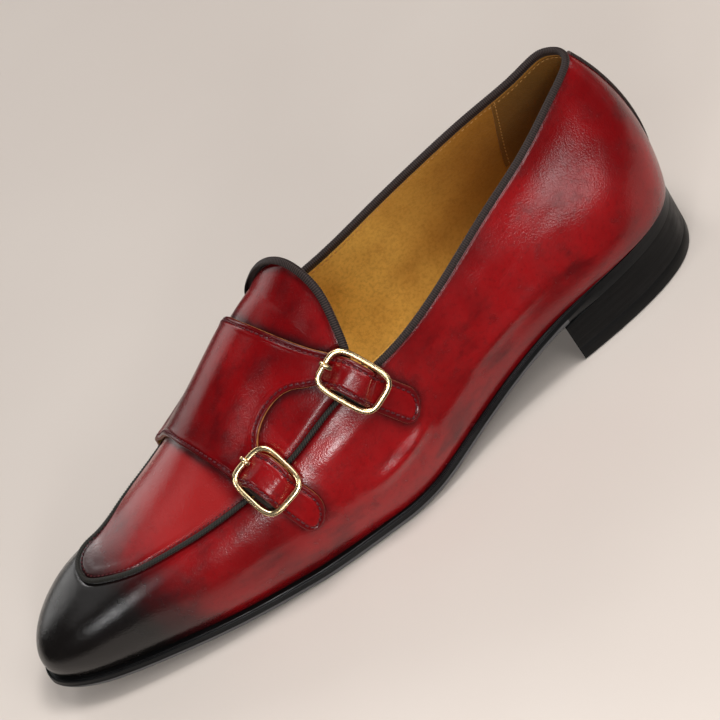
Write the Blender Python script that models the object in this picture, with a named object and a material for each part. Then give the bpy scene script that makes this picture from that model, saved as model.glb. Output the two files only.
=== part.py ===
"""A left double-strap loafer, unworn, standing on its heel and the ball of its sole.

+X runs to the toe, +Y to the outer (buckle) side and +Z up, in metres. The tables are in
millimetres from the back of the sole; every mesh is moved to the middle of the shoe before
it is made. A loop round the shoe is described by an angle: 0 at the middle of
the heel, pi at the toe tip, positive along the outer side and negative along the inner.
"""

import math

import bmesh
import bpy
import numpy as np
from mathutils import Vector
from mathutils.bvhtree import BVHTree

MM = 0.001
GAP = 0.3                  # clearance between pieces that touch, mm
SOLE_LENGTH = 294.0
SOLE_THICKNESS = 5.0
HEEL_BREAST_X = 67.5       # heel breast at its outer corner
HEEL_BREAST_BOW = 4.0      # how far the breast curves back in its middle
HEEL_TAPER = 0.8           # how far the heel's foot stands inside its head
HEEL_TUCK = 1.5            # how far sole and heel stand inside the outline at the very back
TOP_PIECE_HEIGHT = 6.0     # bottom lift of the heel
WALL = 1.8                 # leather and lining together
INSOLE_THICKNESS = 3.0
THROAT_ANGLE = math.radians(90.0)   # where the collar ends and the apron seam begins
WALL_FULLNESS = 0.36       # how round the wall is between its foot and its top
TONGUE_SLOPE = 34.0        # rise of the tongue towards its end, degrees
UPPER_BACK_COLUMNS = 18
UPPER_FRONT_COLUMNS = 20
WALL_RINGS = 9
PLUG_STRIPS = 12
TONGUE_ROWS = 3
SOLE_STATIONS = 36
HEEL_STATIONS = 12
CHART_AXIS_Z = 24.0        # the chart of the upper is cast from a line at this height
BINDING = 0.55             # thickness of the ribbed ribbon round the collar and tongue
BINDING_DEPTH = 2.1
PIPING_WIDTH = 2.8
PIPING_HEIGHT = 1.2
BACK_PIPING_WIDTH = 2.8
BACK_PIPING_HEIGHT = 1.0
BAND = 1.6                 # thickness of the band and its straps
BAND_LIFT = 0.55           # clearance of the band over the upper
WIRE = 0.95                # radius of the buckle wire
BAR = 0.8                  # radius of the buckle's centre bar
BUCKLE_LIFT = 3.2          # height of the buckle's plane over the upper
BUCKLE_CORNER = 4.2
STRAP_ARCH = 4.9           # how high a strap rises over the centre bar
STRAP_ARCH_RUN = 5.2
SEAM_LIFT = 1.8            # how high the band rises over the apron piping
MIDDLE = np.array([145.25, -2.15, 0.0])   # middle of the whole shoe

# Sole outline and underside: station x, outer y, inner y, height of the underside. Below
# nought the underside is cut flat, which is the spot that the forefoot stands on.
SOLE_ROWS = (
    # x,    outer,  inner, under
    (0.0,    0.0,    0.0,  20.4),
    (3.5,   16.4,  -15.6,  20.3),
    (10.5,  26.0,  -25.0,  20.2),
    (25.0,  33.0,  -31.6,  20.0),
    (44.5,  35.8,  -34.0,  19.7),
    (67.5,  36.2,  -33.6,  17.8),
    (95.5,  36.4,  -31.4,  11.0),
    (120.0, 39.9,  -32.4,   4.8),
    (140.0, 43.8,  -36.4,   1.2),
    (160.0, 43.6,  -41.6,  -0.4),
    (182.0, 41.6,  -47.4,  -0.4),
    (203.0, 38.4,  -49.8,   0.8),
    (225.5, 34.0,  -48.6,   2.6),
    (245.5, 28.4,  -44.4,   4.4),
    (263.5, 22.0,  -38.0,   5.8),
    (278.0, 15.4,  -29.8,   6.9),
    (288.8,  7.0,  -18.6,   7.6),
    (294.0, -4.5,   -4.5,   7.8),
)

# Upper: feather station x, how far the upper's foot stands inside the sole's edge and leans
# out there in degrees; then the top of the wall (collar in the back, apron seam in front) on
# the outer and the inner side, with the wall's inward lean there; last, how high the apron
# crowns above the two seams beside it.
WALL_ROWS = (
    #                 outer top                    inner top
    # x,   inset, foot,  x,     y,     z,    lean,   x,     y,     z,    lean, crown
    (  0.0, 0.8,  13.0,   6.8,   0.0,  90.2,  26.0,   6.8,    0.0,  90.2,  26.0, None),
    (  3.5, 0.8,  14.0,   8.6,   5.6,  89.9,  24.0,   8.6,   -5.8,  89.9,  24.0, None),
    ( 10.5, 0.9,  16.0,  13.5,   9.2,  88.8,  21.0,  13.5,  -11.4,  88.6,  21.0, None),
    ( 25.0, 1.1,  17.0,  26.5,  15.0,  85.8,  18.0,  26.5,  -14.6,  85.0,  18.0, None),
    ( 44.5, 1.4,  16.0,  45.5,  21.4,  80.6,  17.0,  45.5,  -20.6,  80.0,  17.0, None),
    ( 67.5, 1.9,  16.0,  68.0,  26.2,  75.0,  16.0,  68.0,  -25.8,  74.6,  16.0, None),
    ( 95.5, 2.0,  18.0,  95.5,  32.4,  67.6,  16.0,  95.5,  -31.2,  67.6,  16.0, None),
    (125.5, 2.0,  22.0, 124.0,  37.0,  62.2,  12.0, 124.0,  -33.4,  63.0,  14.0, 34.0),
    (154.5, 2.4,  26.0, 150.5,  36.6,  59.4,  32.0, 156.5,  -34.6,  60.4,  34.0, 28.0),
    (179.5, 3.2,  28.0, 173.5,  35.4,  51.8,  42.0, 176.5,  -34.4,  52.4,  40.0, 24.5),
    (202.5, 3.4,  28.0, 194.5,  31.8,  46.8,  50.0, 196.0,  -32.2,  45.6,  44.0, 17.5),
    (225.5, 3.4,  28.0, 214.5,  26.6,  43.6,  56.0, 214.5,  -28.6,  41.4,  48.0, 11.0),
    (245.5, 3.4,  27.0, 230.5,  21.0,  41.8,  62.0, 230.5,  -24.2,  39.6,  52.0, 6.2),
    (263.5, 3.2,  25.0, 243.5,  15.2,  40.6,  66.0, 243.5,  -18.8,  39.0,  57.0, 2.8),
    (278.0, 2.8,  25.0, 252.5,   8.6,  39.8,  70.0, 252.5,  -16.2,  39.8,  62.0, 1.1),
    (288.8, 2.4,  25.0, 258.6,   2.2,  39.2,  73.0, 258.6,  -11.2,  39.8,  68.0, 0.3),
    (294.0, 2.4,  25.0, 260.4,  -4.0,  39.2,  74.0, 260.4,   -4.0,  39.2,  74.0, 0.0),
)

# Tongue: share of the way across from the outer side, and how far its end stands behind the
# throat there.
TONGUE_EDGE = (
    # across, length
    (0.00,  0.0),
    (0.04,  7.5),
    (0.10, 12.4),
    (0.20, 16.8),
    (0.32, 17.8),
    (0.44, 16.2),
    (0.56, 12.8),
    (0.68,  8.2),
    (0.80,  3.6),
    (0.90,  1.0),
    (1.00,  0.0),
)

# Band: share of the way down the inner side (0 at the crest), station of its edges.
BAND_ROWS = (
    # share, back,  front
    (0.00,  158.0, 202.0),
    (0.10,  159.4, 203.0),
    (0.20,  160.6, 204.0),
    (0.40,  162.2, 206.8),
    (0.60,  163.2, 209.2),
    (0.80,  163.6, 211.6),
    (1.00,  164.0, 213.6),
)
BAND_SHARES = (1.0, 0.92, 0.84, 0.76, 0.68, 0.61, 0.55, 0.51, 0.475, 0.44, 0.40, 0.35, 0.29,
               0.22, 0.15, 0.08, 0.0)
# Where the band forks, from its back edge to its front edge: station and arc from the crest.
FORK_BACK = ((142.2, 35.8), (144.3, 36.7), (146.4, 37.6), (148.7, 38.6), (151.0, 39.6))
FORK_CUT = ((155.6, 36.2), (159.0, 32.2), (164.6, 29.0), (171.4, 27.4), (177.4, 27.8),
            (180.8, 29.6))
FORK_FRONT = ((181.8, 31.6), (184.8, 32.2), (187.8, 32.8), (190.8, 33.3), (193.8, 33.8))
# Straps and buckles: strap's base and tip on the chart, half width; buckle's centre on the
# chart, outer length and width, and turn in its plane from the girth towards the toe.
UPPER_STRAP = ((146.4, 37.6), (128.6, 83.6), 4.9)
LOWER_STRAP = ((187.8, 32.8), (179.6, 67.2), 5.6)
UPPER_BUCKLE = ((140.5, 50.7), 26.0, 18.2, -21.5)
LOWER_BUCKLE = ((185.9, 40.0), 22.8, 20.2, -7.5)


# ---------------------------------------------------------------- curves through the tables

def periodic_spline(knots, values):
    """A smooth closed curve through values at angles, given over one turn."""
    knots = np.asarray(knots, float)
    values = np.asarray(values, float)
    count = len(knots)
    gaps = np.diff(np.append(knots, knots[0] + 2 * math.pi))
    matrix = np.zeros((count, count))
    right = np.zeros(count)
    for i in range(count):
        before = gaps[i - 1]
        after = gaps[i]
        matrix[i, i - 1] += before
        matrix[i, i] += 2 * (before + after)
        matrix[i, (i + 1) % count] += after
        rise = (values[(i + 1) % count] - values[i]) / after
        fall = (values[i] - values[i - 1]) / before
        right[i] = 6 * (rise - fall)
    bend = np.linalg.solve(matrix, right)

    def curve(angle):
        angle = (np.asarray(angle, float) - knots[0]) % (2 * math.pi) + knots[0]
        i = np.clip(np.searchsorted(knots, angle, side="right") - 1, 0, count - 1)
        j = (i + 1) % count
        gap = gaps[i]
        b = (angle - knots[i]) / gap
        a = 1 - b
        curl = ((a ** 3 - a) * bend[i] + (b ** 3 - b) * bend[j]) * gap ** 2 / 6
        return a * values[i] + b * values[j] + curl

    return curve


def natural_spline(knots, values):
    """A smooth open curve through values, straight at its two ends."""
    knots = np.asarray(knots, float)
    values = np.asarray(values, float)
    count = len(knots)
    gaps = np.diff(knots)
    matrix = np.eye(count)
    right = np.zeros(count)
    for i in range(1, count - 1):
        matrix[i, i - 1:i + 2] = (gaps[i - 1], 2 * (gaps[i - 1] + gaps[i]), gaps[i])
        rise = (values[i + 1] - values[i]) / gaps[i]
        fall = (values[i] - values[i - 1]) / gaps[i - 1]
        right[i] = 6 * (rise - fall)
    bend = np.linalg.solve(matrix, right)

    def curve(at):
        at = np.clip(np.asarray(at, float), knots[0], knots[-1])
        i = np.clip(np.searchsorted(knots, at, side="right") - 1, 0, count - 2)
        gap = gaps[i]
        b = (at - knots[i]) / gap
        a = 1 - b
        curl = ((a ** 3 - a) * bend[i] + (b ** 3 - b) * bend[i + 1]) * gap ** 2 / 6
        return a * values[i] + b * values[i + 1] + curl

    return curve


def station_angle(x):
    return np.arccos(np.clip(1 - 2 * np.asarray(x, float) / SOLE_LENGTH, -1, 1))


def angle_station(angle):
    return SOLE_LENGTH / 2 * (1 - np.cos(angle))


def loop_curve(rows, outer, inner):
    """One closed curve from a table's columns: outer side forward, inner side back."""
    table = np.array(rows)
    angles = station_angle(table[:, 0])
    knots = np.concatenate([-angles[1:-1][::-1], angles])
    values = np.concatenate([table[1:-1, inner][::-1], table[:, outer]])
    return periodic_spline(knots, values)


SOLE_Y = loop_curve(SOLE_ROWS, 1, 2)
INSET, FOOT, TOP_X, TOP_Y, TOP_Z, LEAN = (
    loop_curve(WALL_ROWS, outer, inner)
    for outer, inner in ((1, 1), (2, 2), (3, 7), (4, 8), (5, 9), (6, 10)))
UNDERSIDE = natural_spline([row[0] for row in SOLE_ROWS], [row[3] for row in SOLE_ROWS])
FRONT_ROWS = [row for row in WALL_ROWS if row[11] is not None]
CROWN = natural_spline([float(station_angle(row[0])) for row in FRONT_ROWS],
                       [row[11] for row in FRONT_ROWS])
TONGUE_REACH = natural_spline([row[0] for row in TONGUE_EDGE], [row[1] for row in TONGUE_EDGE])


def under(x):
    """Height of the outsole's underside."""
    return np.maximum(UNDERSIDE(x), 0.0)


def sole_edge(angle, outset=0.0):
    """A point of the sole's outline in plan, moved outward by outset, and its normal."""
    step = 0.01
    angle = np.asarray(angle, float)
    point = np.stack([angle_station(angle), SOLE_Y(angle)], -1)
    ahead = np.stack([angle_station(angle + step), SOLE_Y(angle + step)], -1)
    back = np.stack([angle_station(angle - step), SOLE_Y(angle - step)], -1)
    run = ahead - back
    run /= np.linalg.norm(run, axis=-1, keepdims=True)
    normal = np.stack([-run[..., 1], run[..., 0]], -1)
    return point + np.asarray(outset)[..., None] * normal, normal


# ---------------------------------------------------------------- the upper's outer surface

def bezier(p0, p1, p2, p3, t):
    t = t[..., None]
    s = 1 - t
    return s ** 3 * p0 + 3 * s * s * t * p1 + 3 * s * t * t * p2 + t ** 3 * p3


def wall_ends(angle):
    """Foot and top of the wall at an angle round the shoe, with its lean at the top."""
    foot_xy, normal = sole_edge(angle, -INSET(angle))
    station = angle_station(angle)
    foot_z = under(station) + SOLE_THICKNESS + GAP
    foot = np.concatenate([foot_xy, foot_z[..., None]], -1)
    top = np.stack([TOP_X(angle), TOP_Y(angle), TOP_Z(angle)], -1)
    return foot, top, normal


def wall_point(angle, height):
    """Outer face of the wall: height runs from 0 at the sole to 1 at its top edge."""
    angle = np.asarray(angle, float)
    height = np.asarray(height, float)
    foot, top, normal = wall_ends(angle)
    out = np.concatenate([normal, np.zeros_like(normal[..., :1])], -1)
    up = np.zeros_like(out)
    up[..., 2] = 1
    foot_lean = np.radians(FOOT(angle))[..., None]
    top_lean = np.radians(LEAN(angle))[..., None]
    reach = np.linalg.norm(top - foot, axis=-1, keepdims=True) * WALL_FULLNESS
    handle_a = foot + reach * (np.cos(foot_lean) * up + np.sin(foot_lean) * out)
    handle_b = top - reach * (np.cos(top_lean) * up - np.sin(top_lean) * out)
    return bezier(foot, handle_a, handle_b, top, height)


def plug_point(angle, across):
    """Apron and tongue: rows from the outer seam (across 0) to the inner seam (1)."""
    angle = np.asarray(angle, float)
    across = np.asarray(across, float)
    outer = np.stack([TOP_X(angle), TOP_Y(angle), TOP_Z(angle)], -1)
    inner = np.stack([TOP_X(-angle), TOP_Y(-angle), TOP_Z(-angle)], -1)
    outer_lean = np.radians(LEAN(angle))[..., None]
    inner_lean = np.radians(LEAN(-angle))[..., None]
    way = inner - outer
    width = np.linalg.norm(way, axis=-1, keepdims=True)
    way = way / np.maximum(width, 1e-6)
    up = np.zeros_like(way)
    up[..., 2] = 1
    rise = CROWN(angle)[..., None] / 0.75
    handle_a = outer + rise * (up + np.tan(outer_lean) * way)
    handle_b = inner + rise * (up - np.tan(inner_lean) * way)
    return bezier(outer, handle_a, handle_b, inner, across)


def tongue_point(angle, across, length):
    """A plug row moved back and up by a length, towards the tongue's free end."""
    across = np.asarray(across, float)
    row = plug_point(np.full(across.shape, angle), across)
    rise = math.radians(TONGUE_SLOPE)
    way = np.array([-math.cos(rise), 0.0, math.sin(rise)])
    return row + length[..., None] * way


# ---------------------------------------------------------------- meshes

def clear_scene():
    for item in list(bpy.data.objects):
        bpy.data.objects.remove(item, do_unlink=True)


def make_material(name, color, roughness, metallic=0.0):
    material = bpy.data.materials.new(name)
    material.use_nodes = True
    shader = material.node_tree.nodes["Principled BSDF"]
    shader.inputs["Base Color"].default_value = (*color, 1.0)
    shader.inputs["Roughness"].default_value = roughness
    shader.inputs["Metallic"].default_value = metallic
    return material


def make_object(name, points, faces, material):
    """An object from points in the tables' millimetres; coincident points are joined."""
    mesh = bpy.data.meshes.new(name)
    points = (np.asarray(points, float) - MIDDLE) * MM
    mesh.from_pydata([tuple(p) for p in points], [], faces)
    shape = bmesh.new()
    shape.from_mesh(mesh)
    bmesh.ops.remove_doubles(shape, verts=shape.verts, dist=0.00001)
    bmesh.ops.dissolve_degenerate(shape, dist=0.000005, edges=shape.edges)
    bmesh.ops.recalc_face_normals(shape, faces=shape.faces)
    shape.to_mesh(mesh)
    shape.free()
    mesh.shade_smooth()
    mesh.set_sharp_from_angle(angle=math.radians(35))
    mesh.materials.append(material)
    item = bpy.data.objects.new(name, mesh)
    bpy.context.scene.collection.objects.link(item)
    return item


def tube_faces(count, sides, closed):
    """Faces of a swept section: count sections of so many sides, in a ring or capped."""
    faces = []
    for i in range(count if closed else count - 1):
        j = (i + 1) % count
        for k in range(sides):
            m = (k + 1) % sides
            faces.append((i * sides + k, j * sides + k, j * sides + m, i * sides + m))
    if not closed:
        faces.append(tuple(range(sides)))
        faces.append(tuple((count - 1) * sides + k for k in reversed(range(sides))))
    return faces


def swept(name, frames, section, material, closed=False):
    """A section of (side, up) pairs carried along frames of (place, side, up) vectors."""
    points = []
    for place, side, up in frames:
        for s, u in section:
            points.append(place + s * side + u * up)
    return make_object(name, points, tube_faces(len(frames), len(section), closed), material)


def unit(vector):
    return vector / np.maximum(np.linalg.norm(vector, axis=-1, keepdims=True), 1e-9)


# ---------------------------------------------------------------- upper

def front_angles():
    return np.linspace(THROAT_ANGLE, math.pi, UPPER_FRONT_COLUMNS + 1)


def upper_sheet(tongue=TONGUE_REACH):
    """Points and faces of the upper's outer face: one sheet, open below and at the throat."""
    back = np.linspace(0.0, THROAT_ANGLE, UPPER_BACK_COLUMNS, endpoint=False)
    front = front_angles()
    side = np.concatenate([back, front])
    loop = np.concatenate([side, -side[1:-1][::-1]])
    heights = np.linspace(0.0, 1.0, WALL_RINGS)
    angle, height = np.meshgrid(loop, heights, indexing="ij")
    points = list(wall_point(angle, height).reshape(-1, 3))
    count = len(loop)
    faces = []

    def wall_index(column, ring):
        return (column % count) * WALL_RINGS + ring

    for column in range(count):
        for ring in range(WALL_RINGS - 1):
            faces.append((wall_index(column, ring), wall_index(column + 1, ring),
                          wall_index(column + 1, ring + 1), wall_index(column, ring + 1)))
    across = np.linspace(0, 1, PLUG_STRIPS + 1)[1:-1]
    rows = []
    reaches = list(np.linspace(1, 0, TONGUE_ROWS + 1)) + [0.0] * (UPPER_FRONT_COLUMNS - 1)
    for i, reach in enumerate(reaches):
        step = max(0, i - TONGUE_ROWS)
        column = UPPER_BACK_COLUMNS + step
        row = [wall_index(column, WALL_RINGS - 1)]
        for point in tongue_point(front[step], across, reach * tongue(across)):
            row.append(len(points))
            points.append(point)
        row.append(wall_index(-column, WALL_RINGS - 1))
        rows.append(row)
    for near, far in zip(rows, rows[1:]):
        for k in range(PLUG_STRIPS):
            corners = (near[k], far[k], far[k + 1], near[k + 1])
            faces.append(tuple(dict.fromkeys(corners)))
    tip = wall_index(UPPER_BACK_COLUMNS + UPPER_FRONT_COLUMNS, WALL_RINGS - 1)
    for k in range(PLUG_STRIPS):
        faces.append((rows[-1][k], tip, rows[-1][k + 1]))
    return points, faces


def build_upper(material):
    points, faces = upper_sheet()
    upper = make_object("upper", points, faces, material)
    wall = upper.modifiers.new("wall", "SOLIDIFY")
    wall.thickness = WALL * MM
    wall.offset = -1.0
    wall.use_even_offset = True
    return upper


# ---------------------------------------------------------------- a chart of the upper

def long_tongue(across):
    """A tongue that reaches back under both straps, for the chart alone."""
    return 28.0 * np.sin(math.pi * across) ** 0.15


def girth_tree():
    points, faces = upper_sheet(long_tongue)
    return BVHTree.FromPolygons([Vector(p) for p in points], faces)


def girth(tree, x):
    """The upper's section at x: points from the inner foot over the crest to the outer foot.

    Where the section is open, between the collar and the tongue, it is bridged.
    """
    centre = Vector((x, 0.0, CHART_AXIS_Z))
    turns = np.radians(np.arange(-26.0, 207.0, 2.0))
    hits = []
    for turn in turns:
        place, _, _, reach = tree.ray_cast(centre, Vector((0, math.cos(turn), math.sin(turn))))
        if place is not None:
            hits.append((turn, reach))
    at = np.array([hit[0] for hit in hits])
    reach = np.array([hit[1] for hit in hits])
    turns = turns[(turns >= at[0]) & (turns <= at[-1])][::-1]
    reach = np.interp(turns, at, reach)
    reach[1:-1] = reach[1:-1] * 0.5 + (reach[:-2] + reach[2:]) * 0.25
    return np.stack([np.full(turns.shape, x), reach * np.cos(turns),
                     CHART_AXIS_Z + reach * np.sin(turns)], -1)


# ---------------------------------------------------------------- bindings and pipings

BINDING_SECTION = (
    # out from the outer face, up past the rim
    (GAP, -BINDING_DEPTH),
    (GAP + BINDING * 0.9, -BINDING_DEPTH),
    (GAP + BINDING, -0.5),
    (GAP + 0.3, 0.6),
    (-0.4, GAP + BINDING),
    (-WALL + 0.4, GAP + BINDING),
    (-WALL - GAP - 0.3, 0.6),
    (-WALL - GAP - BINDING, -0.5),
    (-WALL - GAP - BINDING * 0.9, -BINDING_DEPTH),
    (-WALL - GAP, -BINDING_DEPTH),
    (-WALL - GAP, GAP),
    (GAP, GAP),
)


def rim_frames(rims, belows):
    """Frames along a free edge: outward normal and the way past the edge in the surface."""
    frames = []
    for i, (rim, below) in enumerate(zip(rims, belows)):
        ahead = unit(rims[min(i + 1, len(rims) - 1)] - rims[max(i - 1, 0)])
        past = unit(rim - below)
        normal = unit(np.cross(ahead, past))
        frames.append((rim, normal, np.cross(normal, ahead)))
    return frames


def build_bindings(material):
    step = math.degrees(THROAT_ANGLE) / UPPER_BACK_COLUMNS
    angles = np.radians(np.concatenate([[-88.0], np.arange(-85.0, 86.0, step)]))[::-1]
    rims = wall_point(angles, np.ones_like(angles))
    belows = wall_point(angles, np.full(angles.shape, 1 - 1 / (WALL_RINGS - 1)))
    swept("collar_binding", rim_frames(rims, belows), BINDING_SECTION, material)
    across = (np.arange(1, PLUG_STRIPS) / PLUG_STRIPS)[::-1]
    reach = TONGUE_REACH(across)
    rims = tongue_point(float(THROAT_ANGLE), across, reach)
    belows = tongue_point(float(THROAT_ANGLE), across, reach - 5.0)
    swept("tongue_binding", rim_frames(rims, belows)[::-1], BINDING_SECTION, material)


def half_round(width, height):
    half = width / 2
    return ((-half, GAP), (-half * 0.94, GAP + height * 0.55), (-half * 0.5, GAP + height),
            (half * 0.5, GAP + height), (half * 0.94, GAP + height * 0.55), (half, GAP))


def seam_frames(angles):
    """Frames along the top of the wall: sideways in the surface, and outward."""
    points = wall_point(angles, np.ones_like(angles))
    step = 0.01
    ahead = unit(wall_point(angles + step, np.ones_like(angles))
                 - wall_point(angles - step, np.ones_like(angles)))
    past = unit(points - wall_point(angles, np.full(angles.shape, 0.97)))
    normal = unit(np.cross(past, ahead))
    return [(p, np.cross(a, n), n) for p, n, a in zip(points, normal, ahead)]


def build_pipings(material, back_material):
    front = front_angles()[1:]
    front = np.concatenate([[THROAT_ANGLE + 0.03], front])
    loop = np.concatenate([front, 2 * math.pi - front[:-1][::-1]])
    swept("apron_piping", seam_frames(loop), half_round(PIPING_WIDTH, PIPING_HEIGHT), material)
    heights = np.linspace(0.02, 0.945, 12)
    middle = np.zeros_like(heights)
    points = wall_point(middle, heights)
    climb = unit(wall_point(middle, heights + 0.01) - wall_point(middle, heights - 0.01))
    side = np.array([0.0, 1.0, 0.0])
    frames = [(p, side, np.cross(c, side)) for p, c in zip(points, climb)]
    swept("back_seam_piping", frames, half_round(BACK_PIPING_WIDTH, BACK_PIPING_HEIGHT),
          back_material)


# ---------------------------------------------------------------- band, straps and buckles

class Girths:
    """Sections of the upper, kept by station, and the heights that the band takes over it."""

    def __init__(self):
        self.tree = girth_tree()
        self.kept = {}
        angles = np.linspace(THROAT_ANGLE, 2 * math.pi - THROAT_ANGLE, 300)
        self.seam = wall_point(angles, np.ones_like(angles))
        self.bars = [buckle[0] for buckle in (UPPER_BUCKLE, LOWER_BUCKLE)]
        self.turns = [math.radians(buckle[3]) for buckle in (UPPER_BUCKLE, LOWER_BUCKLE)]

    def section(self, x):
        key = round(float(x), 2)
        if key not in self.kept:
            section = girth(self.tree, key)
            steps = np.linalg.norm(np.diff(section, axis=0), axis=1)
            run = np.concatenate([[0.0], np.cumsum(steps)])
            run -= np.interp(0.0, section[:, 1], run)
            self.kept[key] = (section, run)
        return self.kept[key]

    def inner_arc(self, x):
        """Arc from the crest down to the upper's foot on the inner side."""
        return -self.section(x)[1][0]

    def point(self, x, arc):
        """A point of the chart: arc is measured from the crest, positive outward."""
        section, run = self.section(x)
        return np.array([np.interp(arc, run, section[:, k]) for k in range(3)])

    def frame(self, x, arc, span=2.0):
        """Point, direction along the girth, direction to the toe and outward normal."""
        along = unit(self.point(x, arc + span) - self.point(x, arc - span))
        ahead = unit(self.point(x + span, arc) - self.point(x - span, arc))
        normal = unit(np.cross(ahead, along))
        return self.point(x, arc), along, unit(np.cross(along, normal)), normal

    def lift(self, x, arc, point):
        """Height of the band's underside over the upper."""
        near = float(np.min(np.linalg.norm(self.seam - point, axis=1)))
        height = SEAM_LIFT * math.exp(-(max(near - 1.6, 0.0) / 2.8) ** 2)
        for (bar_x, bar_arc), turn in zip(self.bars, self.turns):
            way = (arc - bar_arc) * math.cos(turn) + (x - bar_x) * math.sin(turn)
            off = (x - bar_x) * math.cos(turn) - (arc - bar_arc) * math.sin(turn)
            if arc > 15.0 and abs(off) < 12.0:
                arch = STRAP_ARCH * math.exp(-(way / STRAP_ARCH_RUN) ** 2)
                height = max(height, arch)
        return BAND_LIFT + height


def strap_rows(strap, bar, strips):
    """Chart rows of a strap after its base, each from its back edge to its front edge.

    They stand closest together where the strap arches over the buckle's bar.
    """
    base = np.array(strap[0])
    tip = np.array(strap[1])
    half = strap[2]
    length = float(np.linalg.norm(tip - base))
    way = (tip - base) / length
    side = np.array([way[1], -way[0]])
    middle = float((np.array(bar) - base) @ way)
    runs = [middle + step for step in (-13.5, -10.0, -7.2, -4.8, -2.4, 0.0, 2.4, 4.8, 7.2,
                                       10.0, 14.0, 18.0, 22.0, 26.0)]
    runs = [run for run in runs if 1.5 < run < length - half - 1.0] + [length - half]
    runs += [length - half * share for share in (0.62, 0.32, 0.11, 0.02)]
    out = []
    for run in runs:
        left = min(1.0, (length - run) / half)
        width = half * math.sqrt(1 - (1 - left) ** 2)
        out.append([base + run * way + k * width * side
                    for k in np.linspace(-1, 1, strips + 1)])
    return out


def band_patches(girths):
    """The band as rows of chart points: the main rows, and each strap after its base row."""
    table = np.array(BAND_ROWS)
    fork = np.array(FORK_BACK + FORK_CUT + FORK_FRONT)
    columns = len(fork)
    share = (fork[:, 0] - fork[0, 0]) / (fork[-1, 0] - fork[0, 0])
    main = []
    for down in BAND_SHARES:
        back = np.interp(down, table[:, 0], table[:, 1])
        front = np.interp(down, table[:, 0], table[:, 2])
        x = back + share * (front - back)
        arc = [-down * (girths.inner_arc(v) - 2.0) for v in x]
        main.append(np.stack([x, arc], -1))
    crest = main[-1]
    for way in np.linspace(0, 1, 8)[1:]:
        row = crest + way * (fork - crest)
        row[:, 0] += way * (1 - way) * 5.0 * (1 - share)
        main.append(row)
    strips = len(FORK_BACK) - 1
    upper = [main[-1][:strips + 1]] + strap_rows(UPPER_STRAP, UPPER_BUCKLE[0], strips)
    lower = [main[-1][columns - strips - 1:]] + strap_rows(LOWER_STRAP, LOWER_BUCKLE[0], strips)
    return main, upper, lower


def build_band(girths, material):
    points = []
    quads = []
    index = {}

    def corner(chart):
        key = (round(float(chart[0]), 3), round(float(chart[1]), 3))
        if key not in index:
            index[key] = len(points)
            place, _, _, normal = girths.frame(*key)
            height = girths.lift(key[0], key[1], place)
            points.append((place + height * normal, place + (height + BAND) * normal))
        return index[key]

    for patch in band_patches(girths):
        for near, far in zip(patch, patch[1:]):
            for k in range(len(near) - 1):
                quads.append((corner(near[k]), corner(near[k + 1]),
                              corner(far[k + 1]), corner(far[k])))
    count = len(points)
    faces = []
    sides = {}
    for quad in quads:
        faces.append(tuple(v + count for v in quad))
        faces.append(tuple(reversed(quad)))
        for a, b in zip(quad, quad[1:] + quad[:1]):
            sides[(a, b)] = True
    for a, b in sides:
        if (b, a) not in sides:
            faces.append((a, b, b + count, a + count))
    both = [pair[0] for pair in points] + [pair[1] for pair in points]
    return make_object("monk_band", both, faces, material)


def buckle_frame(girths, buckle):
    """Centre of a buckle, its long and short directions, and its normal."""
    (x, arc), _, _, turn = buckle
    place, along, ahead, normal = girths.frame(x, arc, 8.0)
    turn = math.radians(turn)
    long_way = math.cos(turn) * along + math.sin(turn) * ahead
    return place + BUCKLE_LIFT * normal, long_way, np.cross(normal, long_way), normal


def buckle_path(length, width):
    """Centre line of the wire: a rectangle with round corners and slightly bowed sides."""
    half_length = length / 2 - WIRE
    half_width = width / 2 - WIRE
    path = []
    for turn in range(4):
        sign_l = (1, -1, -1, 1)[turn]
        sign_w = (1, 1, -1, -1)[turn]
        start = turn * math.pi / 2
        for part in np.linspace(0, math.pi / 2, 5):
            path.append((sign_l * (half_length - BUCKLE_CORNER)
                         + BUCKLE_CORNER * math.cos(start + part),
                         sign_w * (half_width - BUCKLE_CORNER)
                         + BUCKLE_CORNER * math.sin(start + part)))
        if turn in (0, 2):
            path.append((0.0, sign_w * (half_width + 0.25)))
        else:
            path.append((sign_l * (half_length + 0.25), 0.0))
    return path


def tube(name, points, radius, sides, material, closed):
    """A round wire along points in one plane or in a line."""
    points = np.array(points)
    count = len(points)
    frames = []
    flat = unit(np.cross(points[1] - points[0], points[count // 3] - points[0]))
    if not closed:
        flat = unit(np.cross(points[1] - points[0], np.array([0.3, 0.2, 1.0])))
    for i in range(count):
        after = points[(i + 1) % count if closed else min(i + 1, count - 1)]
        before = points[i - 1 if closed else max(i - 1, 0)]
        ahead = unit(after - before)
        frames.append((points[i], unit(np.cross(ahead, flat)), flat))
    turns = np.arange(sides) * 2 * math.pi / sides
    section = [(radius * math.cos(t), radius * math.sin(t)) for t in turns]
    return swept(name, frames, section, material, closed)


def joined(frame_object, bar_object):
    """The frame with its centre bar grown into it; the bar's own object is removed."""
    grow = frame_object.modifiers.new("bar", "BOOLEAN")
    grow.operation = "UNION"
    grow.solver = "EXACT"
    grow.object = bar_object
    graph = bpy.context.evaluated_depsgraph_get()
    mesh = bpy.data.meshes.new_from_object(frame_object.evaluated_get(graph))
    frame_object.modifiers.clear()
    frame_object.data = mesh
    bpy.data.objects.remove(bar_object, do_unlink=True)


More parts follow.
